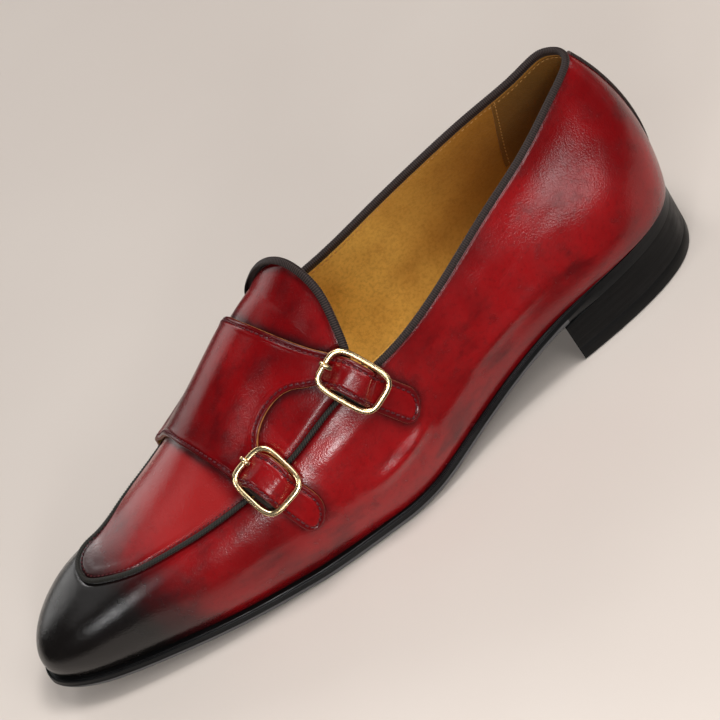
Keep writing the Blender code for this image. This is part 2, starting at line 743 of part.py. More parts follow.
def build_buckle(girths, buckle, label, material):
    centre, long_way, short_way, normal = buckle_frame(girths, buckle)
    length, width = buckle[1:3]
    ring = [centre + a * long_way + b * short_way for a, b in buckle_path(length, width)]
    frame = tube(label + "_buckle", ring, WIRE, 8, material, True)
    reach = width / 2 - WIRE + 0.1
    bar = tube(label + "_bar", [centre - reach * short_way, centre + reach * short_way],
               BAR, 8, material, False)
    joined(frame, bar)
    end = -(length / 2 - WIRE)
    top = WIRE + GAP + 0.6
    path = ((end + 3.4, 0.35), (end + 2.1, 1.15), (end + 1.0, top), (end - 0.6, top),
            (end - 2.2, top - 0.7))
    frames = []
    for i, (a, h) in enumerate(path):
        before = path[max(i - 1, 0)]
        after = path[min(i + 1, len(path) - 1)]
        run = unit(np.array([after[0] - before[0], after[1] - before[1]]))
        up = run[0] * normal - run[1] * long_way
        frames.append((centre + a * long_way + h * normal, short_way, up if up @ normal > 0
                       else -up))
    section = ((-0.9, -0.5), (0.9, -0.5), (0.9, 0.1), (0.5, 0.5), (-0.5, 0.5), (-0.9, 0.1))
    swept(label + "_prong", frames, section, material)


# ---------------------------------------------------------------- sole, insole and heel

def side_angles(count, last):
    """Angles of paired outline points, from the heel's middle to the last."""
    return np.linspace(0.0, last, count + 1)


def tucked(angle, outset):
    """An outset of the sole or the heel, drawn in under the back of the upper."""
    return outset - HEEL_TUCK * max(math.cos(angle), 0.0) ** 4


def plan_row(angle, outset, strips, bow=0.0):
    """A row of points in plan from the outer edge to the inner, curved back by bow."""
    outer, _ = sole_edge(angle, outset)
    inner, _ = sole_edge(-angle, outset)
    share = np.linspace(0, 1, strips + 1)
    row = outer + share[:, None] * (inner - outer)
    row[:, 0] -= bow * 4 * share * (1 - share)
    return row


def slab(name, layers, material):
    """A solid from layers of equal grids, top first: the first and last are its faces."""
    grids = [np.asarray(layer, float) for layer in layers]
    rows, columns = grids[0].shape[:2]
    size = rows * columns
    points = np.concatenate([grid.reshape(-1, 3) for grid in grids])
    faces = []
    for i in range(rows - 1):
        for k in range(columns - 1):
            a = i * columns + k
            quad = (a, a + 1, a + columns + 1, a + columns)
            faces.append(quad)
            faces.append(tuple((len(grids) - 1) * size + v for v in reversed(quad)))
    rim = list(range(columns))
    rim += [i * columns + columns - 1 for i in range(1, rows)]
    rim += [(rows - 1) * columns + k for k in reversed(range(columns - 1))]
    rim += [i * columns for i in reversed(range(1, rows - 1))]
    for level in range(len(grids) - 1):
        for a, b in zip(rim, rim[1:] + rim[:1]):
            faces.append((level * size + a, level * size + b,
                          (level + 1) * size + b, (level + 1) * size + a))
    return make_object(name, points, faces, material)


def sole_layer(angles, outset, rise, strips=4):
    layer = []
    for angle in angles:
        plan = plan_row(angle, tucked(angle, outset), strips)
        layer.append([(x, y, float(under(x)) + rise) for x, y in plan])
    return layer


def build_outsole(material):
    angles = side_angles(SOLE_STATIONS, math.pi)
    edge = ((-0.8, SOLE_THICKNESS), (-0.1, SOLE_THICKNESS - 0.7), (0.0, 2.4),
            (-0.3, 1.2), (-1.5, 0.0))
    return slab("outsole", [sole_layer(angles, *ring) for ring in edge], material)


def build_insole(material):
    angles = side_angles(SOLE_STATIONS, math.pi)
    inset = INSET(angles) + WALL + 2 * GAP
    base = SOLE_THICKNESS + GAP
    layers = []
    for outset, rise in ((-0.4, INSOLE_THICKNESS), (0.0, INSOLE_THICKNESS - 0.5), (-0.6, 0.0)):
        layer = []
        for angle, edge in zip(angles, inset):
            plan = plan_row(angle, outset - edge, 4)
            layer.append([(x, y, float(under(x)) + base + rise) for x, y in plan])
        layers.append(layer)
    return slab("insole", layers, material)


def heel_plan(share, strips=8):
    """Rows of the heel in plan: share 0 at its foot, 1 at its head under the outsole."""
    last = float(station_angle(HEEL_BREAST_X))
    rows = []
    for angle in side_angles(HEEL_STATIONS, last):
        x = float(angle_station(angle))
        taper = HEEL_TAPER * (1 - share) * (0.35 + 0.65 * math.cos(angle) ** 2)
        bow = HEEL_BREAST_BOW * (x / HEEL_BREAST_X) ** 2
        rows.append(plan_row(angle, tucked(angle, -0.5 - taper), strips, bow))
    return rows


def build_heel(stack_material, piece_material):
    def level(share, height):
        return [[(x, y, height) for x, y in row] for row in heel_plan(share)]

    def head():
        return [[(x, y, float(under(x)) - GAP) for x, y in row] for row in heel_plan(1.0)]

    seat = TOP_PIECE_HEIGHT + GAP
    tall = float(under(0.0)) - GAP
    part = seat / tall
    slab("heel_stack", [head(), level(part, seat)], stack_material)
    slab("heel_top_piece",
         [level(part, TOP_PIECE_HEIGHT), level(0.0, 0.6),
          [[(x, y, 0.0) for x, y in row] for row in heel_plan(-0.15)]], piece_material)


def main():
    clear_scene()
    leather = make_material("upper_leather", (0.32, 0.01, 0.012), 0.32)
    lining = make_material("insole_lining", (0.42, 0.24, 0.05), 0.6)
    sole = make_material("sole_leather", (0.012, 0.012, 0.013), 0.4)
    heel = make_material("heel_leather", (0.012, 0.012, 0.012), 0.45)
    rubber = make_material("heel_rubber", (0.015, 0.015, 0.015), 0.6)
    ribbon = make_material("ribbon_brown", (0.035, 0.02, 0.018), 0.7)
    cord = make_material("piping_black", (0.012, 0.012, 0.011), 0.65)
    strap = make_material("strap_leather", (0.33, 0.011, 0.013), 0.32)
    gold = make_material("buckle_gold", (0.83, 0.6, 0.24), 0.22, 1.0)
    build_upper(leather)
    build_insole(lining)
    build_outsole(sole)
    build_heel(heel, rubber)
    build_bindings(ribbon)
    build_pipings(cord, ribbon)
    girths = Girths()
    build_band(girths, strap)
    build_buckle(girths, UPPER_BUCKLE, "upper", gold)
    build_buckle(girths, LOWER_BUCKLE, "lower", gold)


main()
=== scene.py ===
"""Looks of a left loafer with two straps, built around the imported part.

The tables repeat the part's own, in millimetres from the back of the sole: +X runs to the toe,
+Y to the outer (buckle) side and +Z up. Every mesh is moved to the middle of the shoe when it
is made. A loop round the shoe is described by an angle: 0 at the middle of the heel, pi at the
toe tip, positive along the outer side and negative along the inner.
"""

import math

import bmesh
import bpy
import numpy as np
from mathutils import Matrix, Vector
from mathutils.bvhtree import BVHTree
from mathutils.geometry import tessellate_polygon
from mathutils.kdtree import KDTree


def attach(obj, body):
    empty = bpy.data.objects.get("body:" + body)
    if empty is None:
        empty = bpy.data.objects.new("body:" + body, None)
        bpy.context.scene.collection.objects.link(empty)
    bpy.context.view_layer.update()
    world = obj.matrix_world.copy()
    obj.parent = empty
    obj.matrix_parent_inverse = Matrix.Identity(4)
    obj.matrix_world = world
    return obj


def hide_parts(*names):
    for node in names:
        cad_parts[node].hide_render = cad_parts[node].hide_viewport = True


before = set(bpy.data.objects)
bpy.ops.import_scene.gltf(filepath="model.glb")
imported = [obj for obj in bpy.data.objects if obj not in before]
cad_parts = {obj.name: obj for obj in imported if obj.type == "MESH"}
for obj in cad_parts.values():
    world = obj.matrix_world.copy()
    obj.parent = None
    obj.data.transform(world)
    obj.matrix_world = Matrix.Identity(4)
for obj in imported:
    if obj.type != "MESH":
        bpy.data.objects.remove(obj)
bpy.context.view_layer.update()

# ---- the part's sizes and tables

MM = 0.001
GAP = 0.3
SOLE_LENGTH = 294
SOLE_THICKNESS = 5
HEEL_BREAST_X = 67.5
HEEL_BREAST_BOW = 4
HEEL_TAPER = 0.8
HEEL_TUCK = 1.5
TOP_PIECE_HEIGHT = 6
WALL = 1.8
THROAT_ANGLE = math.radians(90)
WALL_FULLNESS = 0.36
TONGUE_SLOPE = math.radians(34)
CHART_AXIS_Z = 24
BAND = 1.6
BAND_LIFT = 0.55
WIRE = 0.95
BAR = 0.8
BUCKLE_LIFT = 3.2
BUCKLE_SQUARE = 4  # how square the frames are: 2 would be an ellipse
STRAP_ARCH = 5.3
STRAP_ARCH_RUN = 7.9
STRAP_BACK = 1.5  # half of how far the straps shift inside the buckles
STRAP_FRONT = 0.3
SEAM_LIFT = 1.8
MIDDLE = np.array([145.25, -2.15, 0])
UP = np.array([0, 0, 1])

# Sole: station x, outer y, inner y, height of the underside.
SOLE_ROWS = (
    (0, 0, 0, 20.4), (3.5, 16.4, -15.6, 20.3), (10.5, 26, -25, 20.2), (25, 33, -31.6, 20),
    (44.5, 35.8, -34, 19.7), (67.5, 36.2, -33.6, 17.8), (95.5, 36.4, -31.4, 11),
    (120, 39.9, -32.4, 4.8), (140, 43.8, -36.4, 1.2), (160, 43.6, -41.6, -0.4),
    (182, 41.6, -47.4, -0.4), (203, 38.4, -49.8, 0.8), (225.5, 34, -48.6, 2.6),
    (245.5, 28.4, -44.4, 4.4), (263.5, 22, -38, 5.8), (278, 15.4, -29.8, 6.9),
    (288.8, 7, -18.6, 7.6), (294, -4.5, -4.5, 7.8))
# Upper: station, inset and lean of the wall's foot, then x, y, z and lean of its top on the
# outer side and on the inner side, and the apron's crown.
WALL_ROWS = (
    (0, 0.8, 13, 6.8, 0, 90.2, 26, 6.8, 0, 90.2, 26, None),
    (3.5, 0.8, 14, 8.6, 5.6, 89.9, 24, 8.6, -5.8, 89.9, 24, None),
    (10.5, 0.9, 16, 13.5, 9.2, 88.8, 21, 13.5, -11.4, 88.6, 21, None),
    (25, 1.1, 17, 26.5, 15, 85.8, 18, 26.5, -14.6, 85, 18, None),
    (44.5, 1.4, 16, 45.5, 21.4, 80.6, 17, 45.5, -20.6, 80, 17, None),
    (67.5, 1.9, 16, 68, 26.2, 75, 16, 68, -25.8, 74.6, 16, None),
    (95.5, 2, 18, 95.5, 32.4, 67.6, 16, 95.5, -31.2, 67.6, 16, None),
    (125.5, 2, 22, 124, 37, 62.2, 12, 124, -33.4, 63, 14, 34),
    (154.5, 2.4, 26, 150.5, 36.6, 59.4, 32, 156.5, -34.6, 60.4, 34, 28),
    (179.5, 3.2, 28, 173.5, 35.4, 51.8, 42, 176.5, -34.4, 52.4, 40, 24.5),
    (202.5, 3.4, 28, 194.5, 31.8, 46.8, 50, 196, -32.2, 45.6, 44, 17.5),
    (225.5, 3.4, 28, 214.5, 26.6, 43.6, 56, 214.5, -28.6, 41.4, 48, 11),
    (245.5, 3.4, 27, 230.5, 21, 41.8, 62, 230.5, -24.2, 39.6, 52, 6.2),
    (263.5, 3.2, 25, 243.5, 15.2, 40.6, 66, 243.5, -18.8, 39, 57, 2.8),
    (278, 2.8, 25, 252.5, 8.6, 39.8, 70, 252.5, -16.2, 39.8, 62, 1.1),
    (288.8, 2.4, 25, 258.6, 2.2, 39.2, 73, 258.6, -11.2, 39.8, 68, 0.3),
    (294, 2.4, 25, 260.4, -4, 39.2, 74, 260.4, -4, 39.2, 74, 0))
# Tongue: share of the way across from the outer side, and its reach behind the throat.
TONGUE_EDGE = (
    (0, 0), (0.04, 7.5), (0.1, 12.4), (0.2, 16.8), (0.32, 17.8), (0.44, 16.2), (0.56, 12.8),
    (0.68, 8.2), (0.8, 3.6), (0.9, 1), (1, 0))
# Band: share of the way down the inner side (0 at the crest), and stations of its edges.
BAND_ROWS = (
    (0, 158, 202), (0.1, 159.4, 203), (0.2, 160.6, 204), (0.4, 162.2, 206.8),
    (0.6, 163.2, 209.2), (0.8, 163.6, 211.6), (1, 164, 213.6))
BAND_SHARES = (1, 0.92, 0.84, 0.76, 0.68, 0.61, 0.55, 0.51, 0.475, 0.44, 0.4, 0.35, 0.29, 0.22,
               0.15, 0.08, 0)
BAND_EDGE_RISE = 1.9  # of the band's rounded edge over the upper's face
BAND_FOOT = 8.8286  # height over which the band's inner edge is sewn
# Where the band forks, from its back edge to its front edge: station and arc from the crest.
FORK_BACK = ((142.2, 35.8), (144.3, 36.7), (146.4, 37.6), (148.7, 38.6), (151, 39.6))
FORK_CUT = ((155.6, 36.2), (159, 32.2), (164.6, 29), (171.4, 27.4), (177.4, 27.8), (180.8, 29.6))
FORK_FRONT = ((181.8, 31.6), (184.8, 32.2), (187.8, 32.8), (190.8, 33.3), (193.8, 33.8))
# Straps: base and tip on the chart, half width. Buckles: centre on the chart, outer length
# and width, and turn in the buckle's plane from the girth towards the toe.
UPPER_STRAP = ((146.4, 37.6), (128.6, 83.6), 4.9)
LOWER_STRAP = ((187.8, 32.8), (179.6, 67.2), 5.6)
UPPER_BUCKLE = ((140.5, 50.7), 26, 18.2, -21.5)
LOWER_BUCKLE = ((185.9, 40), 22.8, 20.2, -7.5)

# ---- sizes of the looks

LEATHER = 1.05  # outer leather, mm; the lining fills the rest of the wall
LINING_DEPTH = LEATHER + 0.08
RIBBON = 0.36  # thickness of the ribbed binding
RIBBON_OUTSIDE = 1.25  # how far the binding reaches down outside and inside
RIBBON_INSIDE = 1.8
RIB_PITCH = 0.85
CORD = 0.86  # radius of the apron's piping
SEAM_SINK = 1  # how deep the leather dives beside the piping
STITCH_PITCH = 2.2
STITCH_INSET = 1.65  # stitches from the band's edge
DULL_BEHIND = 172  # behind this station the apron takes the straps' duller finish
SHEET_MERGE = 0.004  # points this close are joined where the apron's rows meet

# Creases and swells of the wall: side, rise, half width, and the way they run (x, z).
CREASES = (
    (1, 2, 3.2, (127, 31.5), (138, 29.6), (149, 27.4), (161, 25.2)),
    (1, 1, 3.6, (56, 42), (70, 40), (83, 38), (96, 35.8), (110, 32.8)),
    (1, 0.45, 3.6, (104, 31.5), (118, 29), (130, 25)),
    (1, -0.55, 9.5, (2, 79), (22, 75), (45, 71), (68, 65)),
    (1, 0.3, 9, (14, 52), (34, 50), (58, 49)),
    (1, -0.14, 2.4, (40, 61.5), (49, 59), (60, 58)),
    (1, -0.22, 1.8, (66, 56), (78, 52.5), (92, 50.5)),
    (1, 0.16, 3.2, (70, 62), (84, 58), (98, 53)),
    (1, 0.95, 4.2, (142, 50.5), (156, 48), (170, 43.5)),
    (1, -0.35, 2.4, (150, 38.5), (160, 34.5), (172, 31)),
    (1, 0.2, 3.4, (196, 33), (208, 29.5), (222, 27)),
    (1, -0.3, 3, (188, 26), (204, 23.5), (220, 21)),
    (-1, 0.8, 4, (132, 36), (150, 32), (170, 28)),
    (-1, -0.5, 4, (140, 44), (160, 40), (178, 35)),
    (-1, 0.7, 5, (62, 46), (84, 44), (108, 40)),
    (-1, -0.8, 8.5, (2, 77), (22, 73), (45, 69), (68, 64)),
    (-1, 0.5, 9, (14, 54), (34, 52), (58, 51)),
    (-1, 0.35, 3.2, (194, 30), (208, 27), (222, 25)))
# The outsole's edge from its top to its underside: outset and height. The heel's side, from
# its top piece down: height and outset.
SOLE_PROFILE = (
    (-3.4, 5), (-1.45, 5), (-1.25, 4.66), (-0.98, 4.6), (-0.8, 4.9), (-0.52, 5.06),
    (-0.24, 4.96), (-0.08, 4.7), (-0.04, 4.2), (-0.04, 3.4), (0.08, 3.2), (0.14, 2.95),
    (0.04, 2.7), (-0.22, 2.1), (-0.62, 1.35), (-1.05, 0.7), (-1.45, 0.28), (-1.8, 0.08),
    (-2.3, 0))
TOP_LIFT_PROFILE = ((6, -0.1), (5.8, 0.06), (3.4, 0.1), (0.9, 0.06), (0.35, -0.15), (0, -0.6))
# Outline of the near floor in plan.
NEAR_FLOOR = (
    (-220, -200), (480, -200), (480, 240), (330, 150), (268, 84), (238, 70), (205, 72),
    (175, 76), (140, 74), (110, 66), (80, 60), (44, 60), (20, 62), (0, 72), (-30, 100),
    (-90, 170), (-220, 240))
CAMERA_ANGLES = (175.997, 38.173, -36.618)  # azimuth, elevation, roll
CAMERA_DISTANCE = 1.27799
CAMERA_FOCUS = 4.84764  # focal length in picture widths
CAMERA_TARGET = (-0.013288, 0.002988, 0.039428)
# Soft boxes facing the shoe: azimuth from +X to +Y, elevation, distance, size, radiance,
# tilt, warmth.
LIGHTS = (
    ("key", 160, 67, 1.4, (0.34, 0.34), 24, 0, 0.01),
    ("top", 150, 82, 1.2, (0.3, 0.3), 9.5, 0, 0.01),
    ("overhead", 128, 52, 1.5, (0.8, 0.6), 4, 0, 0.01),
    ("front_strip", 77, 22, 1.5, (0.9, 0.15), 14, -56, 0),
    ("strap_light", 67, 20, 0.49, (0.08, 0.06), 36, 0, 0),
    ("heel_strip", 113, 14, 1.5, (0.5, 0.22), 7.5, 0, 0),
    ("toe_strip", 19, 31, 0.44, (0.1, 0.045), 13, -45, 0),
    ("rear_panel", 176, 9, 1.5, (0.5, 0.4), 1.8, 0, 0),
    ("back_panel", -66, 17, 1.7, (0.9, 1), 1.5, 0, 0.015),
    ("rim_panel", -86, 32, 1.6, (0.4, 0.6), 5.5, 0, 0.015),
    ("apron_panel", -42, 48, 1.6, (1.1, 0.34), 0.85, 0, 0.015))


# ---- curves through the tables

def spline(knots, values, closed=False):
    """A smooth curve through values: straight at its two ends, or closed over one turn."""
    knots = np.asarray(knots, float)
    values = np.asarray(values, float)
    count = len(knots)
    gaps = np.diff(np.append(knots, knots[0] + 2 * math.pi) if closed else knots)
    matrix = np.zeros((count, count)) if closed else np.eye(count)
    right = np.zeros(count)
    for i in range(0 if closed else 1, count if closed else count - 1):
        j = (i + 1) % count
        matrix[i, i - 1] = gaps[i - 1]
        matrix[i, i] = 2 * (gaps[i - 1] + gaps[i])
        matrix[i, j] = gaps[i]
        rise = (values[j] - values[i]) / gaps[i]
        fall = (values[i] - values[i - 1]) / gaps[i - 1]
        right[i] = 6 * (rise - fall)
    bend = np.linalg.solve(matrix, right)

    def curve(at):
        at = np.asarray(at, float)
        at = ((at - knots[0]) % (2 * math.pi) + knots[0] if closed else np.clip(at, knots[0], knots[-1]))
        i = np.clip(np.searchsorted(knots, at, side="right") - 1, 0, len(gaps) - 1)
        j = (i + 1) % count
        b = (at - knots[i]) / gaps[i]
        a = 1 - b
        curl = ((a ** 3 - a) * bend[i] + (b ** 3 - b) * bend[j]) * gaps[i] ** 2 / 6
        return a * values[i] + b * values[j] + curl

    return curve


def station_angle(x):
    return np.arccos(np.clip(1 - 2 * np.asarray(x, float) / SOLE_LENGTH, -1, 1))


def angle_station(angle):
    return SOLE_LENGTH / 2 * (1 - np.cos(angle))


def loop_curve(rows, outer, inner):
    """One closed curve from a table's columns: outer side forward, inner side back."""
    table = np.array(rows)
    angles = station_angle(table[:, 0])
    return spline(np.concatenate([-angles[-2:0:-1], angles]),
                  np.concatenate([table[-2:0:-1, inner], table[:, outer]]), True)


SOLE_Y = loop_curve(SOLE_ROWS, 1, 2)
INSET, FOOT, TOP_X, TOP_Y, TOP_Z, LEAN = (
    loop_curve(WALL_ROWS, outer, inner)
    for outer, inner in ((1, 1), (2, 2), (3, 7), (4, 8), (5, 9), (6, 10)))
UNDERSIDE = spline(*np.array(SOLE_ROWS)[:, [0, 3]].T)
CROWN = spline(*zip(*[(station_angle(row[0]), row[-1]) for row in WALL_ROWS if row[-1] is not None]))
TONGUE_REACH = spline(*zip(*TONGUE_EDGE))


def under(x):
    """Height of the outsole's underside."""
    return np.maximum(UNDERSIDE(x), 0)


def unit(vector):
    return vector / np.maximum(np.linalg.norm(vector, axis=-1, keepdims=True), 1e-9)


def smooth(value, low, high):
    """0 below low, 1 above high, and smooth between them."""
    t = np.clip((np.asarray(value, float) - low) / (high - low), 0, 1)
    return t * t * (3 - 2 * t)


def bell(value, width):
    """1 at zero, and falling off on both sides."""
    return np.exp(-(value / width) ** 2)


def swing(a, b, turn):
    """A turned by an angle towards B, at right angles to it."""
    return math.cos(turn) * a + math.sin(turn) * b


def turns(count):
    """Equal steps of angle round one turn."""
    return np.arange(count) * 2 * math.pi / count


def raised(plan, height):
    """Points at a height over points in plan."""
    return np.concatenate([plan, height[..., None]], -1)


def sole_edge(angle, outset):
    """A point of the sole's outline in plan, moved outward by outset, and its normal."""
    back, point, ahead = (np.stack([angle_station(a), SOLE_Y(a)], -1)
                          for a in (angle - 0.01, angle, angle + 0.01))
    run = unit(ahead - back)
    normal = np.stack([-run[..., 1], run[..., 0]], -1)
    return point + np.asarray(outset)[..., None] * normal, normal


# ---- the upper's outer surface

def bezier(p0, p1, p2, p3, t):
    t = t[..., None]
    s = 1 - t
    return s ** 3 * p0 + 3 * s * s * t * p1 + 3 * s * t * t * p2 + t ** 3 * p3


def top_edge(angle):
    """The wall's top edge: the collar behind, the apron's seam in front."""
    return np.stack([TOP_X(angle), TOP_Y(angle), TOP_Z(angle)], -1)


def wall_point(angle, height):
    """Outer face of the wall: height runs from 0 at the sole to 1 at its top edge."""
    angle, height = np.broadcast_arrays(angle, height)
    foot, normal = sole_edge(angle, -INSET(angle))
    foot = raised(foot, under(angle_station(angle)) + SOLE_THICKNESS + GAP)
    top = top_edge(angle)
    out = raised(normal, np.zeros(angle.shape))
    foot_lean = np.radians(FOOT(angle))[..., None]
    top_lean = np.radians(LEAN(angle))[..., None]
    reach = np.linalg.norm(top - foot, axis=-1, keepdims=True) * WALL_FULLNESS
    return bezier(foot, foot + reach * (np.cos(foot_lean) * UP + np.sin(foot_lean) * out),
                  top - reach * (np.cos(top_lean) * UP - np.sin(top_lean) * out), top, height)


def plug_point(angle, across):
    """Apron and tongue: rows from the outer seam (across 0) to the inner seam (1)."""
    angle, across = np.broadcast_arrays(angle, across)
    outer, inner = top_edge(angle), top_edge(-angle)
    way = unit(inner - outer)
    rise = CROWN(angle)[..., None] / 0.75
    outer_slope, inner_slope = (np.tan(np.radians(LEAN(a)))[..., None] for a in (angle, -angle))
    return bezier(outer, outer + rise * (UP + outer_slope * way),
                  inner + rise * (UP - inner_slope * way), inner, across)


def tongue_point(across, length):
    """The plug's throat row moved back and up by a length."""
    way = np.array([-math.cos(TONGUE_SLOPE), 0, math.sin(TONGUE_SLOPE)])
    return plug_point(THROAT_ANGLE, across) + length[..., None] * way


def tongue_edge(across, back=0):
    """The tongue's free edge, or a line at a distance before it."""
    return tongue_point(across, TONGUE_REACH(across) - back)


def plug_rows(across, reach, behind, ahead):
    """Rows of the tongue from its free end to the throat, and of the apron to the toe."""
    rows = [tongue_point(across, share * reach) for share in np.linspace(1, 0, behind, endpoint=False)]
    rows += [plug_point(angle, across) for angle in np.linspace(THROAT_ANGLE, math.pi, ahead)]
    return np.array(rows)


SEAM = top_edge(np.linspace(THROAT_ANGLE, 2 * math.pi - THROAT_ANGLE, 1400))


def distances(points, line):
    """Distance of each point from a densely sampled line."""
    tree = KDTree(len(line))
    for i, place in enumerate(line):
        tree.insert(place, i)
    tree.balance()
    return np.array([tree.find(p)[2] for p in points.reshape(-1, 3)]).reshape(points.shape[:-1])


def grid_normals(points, wrap=False):
    """Unit normals of a grid of points, from the differences along its two ways."""
    along = np.gradient(points, axis=0)
    if wrap:
        along = np.roll(points, -1, 0) - np.roll(points, 1, 0)
    return unit(np.cross(np.gradient(points, axis=1), along))


def run_along(line):
    """Distance along a line, at each of its points."""
    return np.concatenate([[0], np.cumsum(np.linalg.norm(np.diff(line, axis=0), axis=1))])


def line_at(at, run, line):
    """A line's points at distances along it."""
    return np.stack([np.interp(at, run, column) for column in line.T], -1)


def resample(line, step):
    """Evenly spaced points along a line, about a step apart."""
    run = run_along(line)
    return line_at(np.linspace(0, run[-1], max(2, int(round(run[-1] / step)) + 1)), run, line)


def respaced(edge_and_shade, at, step):
    """Values for places a step apart along an edge, from dense uneven ones."""
    run = run_along(edge_and_shade(at))
    return np.interp(np.arange(0, run[-1], step), run, at)


def softened(values, rounds):
    """Values smoothed along their first axis, with the ends kept."""
    values = np.array(values, float)
    for _ in range(rounds):
        values[1:-1] = values[1:-1] * 0.5 + (values[:-2] + values[2:]) * 0.25
    return values


# ---- meshes and pieces

def placed(name, data):
    """A new object in the scene."""
    item = bpy.data.objects.new(name, data)
    bpy.context.scene.collection.objects.link(item)
    return item


def make_piece(name, points, faces, materials, slot, replaced=(), paint=None, kinds=None,
               sharp=50, merge=0.0005):
    """A visible piece from points in the tables' millimetres, riding on the part."""
    mesh = bpy.data.meshes.new(name)
    points = (np.asarray(points, float).reshape(-1, 3) - MIDDLE) * MM
    mesh.from_pydata(points.tolist(), [], faces)
    for key, values in (paint or {}).items():
        layer = mesh.attributes.new(key, "FLOAT", "POINT")
        layer.data.foreach_set("value", np.asarray(values, np.float32).ravel())
    for material in materials:
        mesh.materials.append(material)
    if kinds is not None:
        mesh.polygons.foreach_set("material_index", np.asarray(kinds, np.int32))
    shape = bmesh.new()
    shape.from_mesh(mesh)
    bmesh.ops.remove_doubles(shape, verts=shape.verts, dist=merge * MM)
    bmesh.ops.dissolve_degenerate(shape, dist=merge * MM / 2, edges=shape.edges)
    loose = [v for v in shape.verts if not v.link_faces]
    bmesh.ops.delete(shape, geom=loose, context="VERTS")
    bmesh.ops.recalc_face_normals(shape, faces=shape.faces)
    shape.to_mesh(mesh)
    shape.free()
    mesh.shade_smooth()
    mesh.set_sharp_from_angle(angle=math.radians(sharp))
    item = placed(name, mesh)
    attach(item, "root")
    if replaced:
        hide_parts(*replaced)


def grid_quads(index):
    """Quads of a grid of point numbers."""
    return np.stack([index[:-1, :-1], index[1:, :-1], index[1:, 1:], index[:-1, 1:]],
                    -1).reshape(-1, 4).tolist()


def shell(outer, inner, wrap=False):
    """Points and faces of a closed sheet between two equal grids of points."""
    rows, columns = outer.shape[:2]
    index = np.arange(rows * columns).reshape(rows, columns)
    if wrap:
        index = np.concatenate([index, index[:1]])
    far = index + rows * columns
    faces = grid_quads(index) + grid_quads(far[:, ::-1])
    faces += grid_quads(np.stack([index[:, 0], far[:, 0]], 1)[::-1])
    faces += grid_quads(np.stack([index[:, -1], far[:, -1]], 1))
    if not wrap:
        faces += grid_quads(np.stack([index[0], far[0]], 1))
        faces += grid_quads(np.stack([index[-1], far[-1]], 1)[::-1])
    return np.concatenate([outer.reshape(-1, 3), inner.reshape(-1, 3)]), faces


def tube_faces(count, sides, closed=False):
    """Faces of a swept section: count sections of so many sides, in a ring or capped."""
    index = np.arange(count * sides).reshape(count, sides)
    loop = np.concatenate([index, index[:, :1]], 1)
    if closed:
        return grid_quads(np.concatenate([loop, loop[:1]]))
    return grid_quads(loop) + [index[0].tolist(), index[-1][::-1].tolist()]


# ---- materials

class Nodes:
    """A material's nodes, added one call at a time."""

    def __init__(self, name, **settings):
        self.material = bpy.data.materials.new(name)
        self.material.use_nodes = True
        self.tree = self.material.node_tree
        self.shader = self.tree.nodes["Principled BSDF"]
        for key, value in settings.items():
            self.shader.inputs[key.replace("_", " ")].default_value = value
        self.place = self.add("TexCoord").outputs["Object"]

    def add(self, kind, inputs=None, **settings):
        node = self.tree.nodes.new("ShaderNode" + kind)
        for key, value in settings.items():
            setattr(node, key, value)
        for key, value in (inputs or {}).items():
            if isinstance(value, bpy.types.NodeSocket):
                self.tree.links.new(value, node.inputs[key])
            else:
                node.inputs[key].default_value = value
        return node

    def noise(self, size, detail=3, rough=0.55, place=None):
        """Noise whose largest features measure about a size in millimetres."""
        return self.add("TexNoise", {"Vector": place or self.place, "Scale": 1 / (size * MM),
                                     "Detail": detail, "Roughness": rough}).outputs[0]

    def cells(self, size):
        return self.add("TexVoronoi", {"Vector": self.place, "Scale": 1 / (size * MM)},
                        feature="SMOOTH_F1").outputs["Distance"]

    def stretched(self, scale, turn=0):
        return self.add("Mapping", {"Vector": self.place, "Rotation": (0, turn, 0),
                                    "Scale": scale}).outputs[0]

    def math(self, operation, *inputs):
        return self.add("Math", dict(enumerate(inputs)), operation=operation).outputs[0]

    def span(self, *inputs):
        """A value, its low and high, and what these two become: 0 and 1 unless it is said."""
        return self.add("MapRange", dict(enumerate(inputs)),
                        interpolation_type="SMOOTHSTEP").outputs["Result"]

    def mix(self, factor, a, b):
        a, b = (c if isinstance(c, bpy.types.NodeSocket) else (*c, 1) for c in (a, b))
        return self.add("Mix", {0: factor, 6: a, 7: b}, data_type="RGBA").outputs[2]

    def painted(self, name):
        return self.add("Attribute", attribute_name=name).outputs["Fac"]

    def bump(self, height, distance, strength, under=None):
        inputs = {"Height": height, "Distance": distance * MM, "Strength": strength}
        return self.add("Bump", {**inputs, "Normal": under} if under else inputs).outputs[0]

    def finish(self, color, roughness, normal):
        for key, value in (("Base Color", color), ("Roughness", roughness), ("Normal", normal)):
            self.tree.links.new(value, self.shader.inputs[key])
        return self.material


CRIMSON = (0.146, 0.0013, 0.0025)
BRIGHT = (0.258, 0.003, 0.0048)
# a brighter red painted on the apron, standing in for light
PAINTED_LIGHT_RED = (0.33, 0.017, 0.017)
DEEP = (0.055, 0.0012, 0.0024)
# edge dye on the band, and painted shade beside seams, bindings and the sole
MAROON = (0.022, 0.0016, 0.0028)
# the toe's burnish, also used for the painted shadow beside the band
SMOKED_BURNISH_AND_SHADOW = (0.022, 0.0022, 0.003)
BLACK_BURNISH_AND_SHADOW = (0.0055, 0.0045, 0.0042)


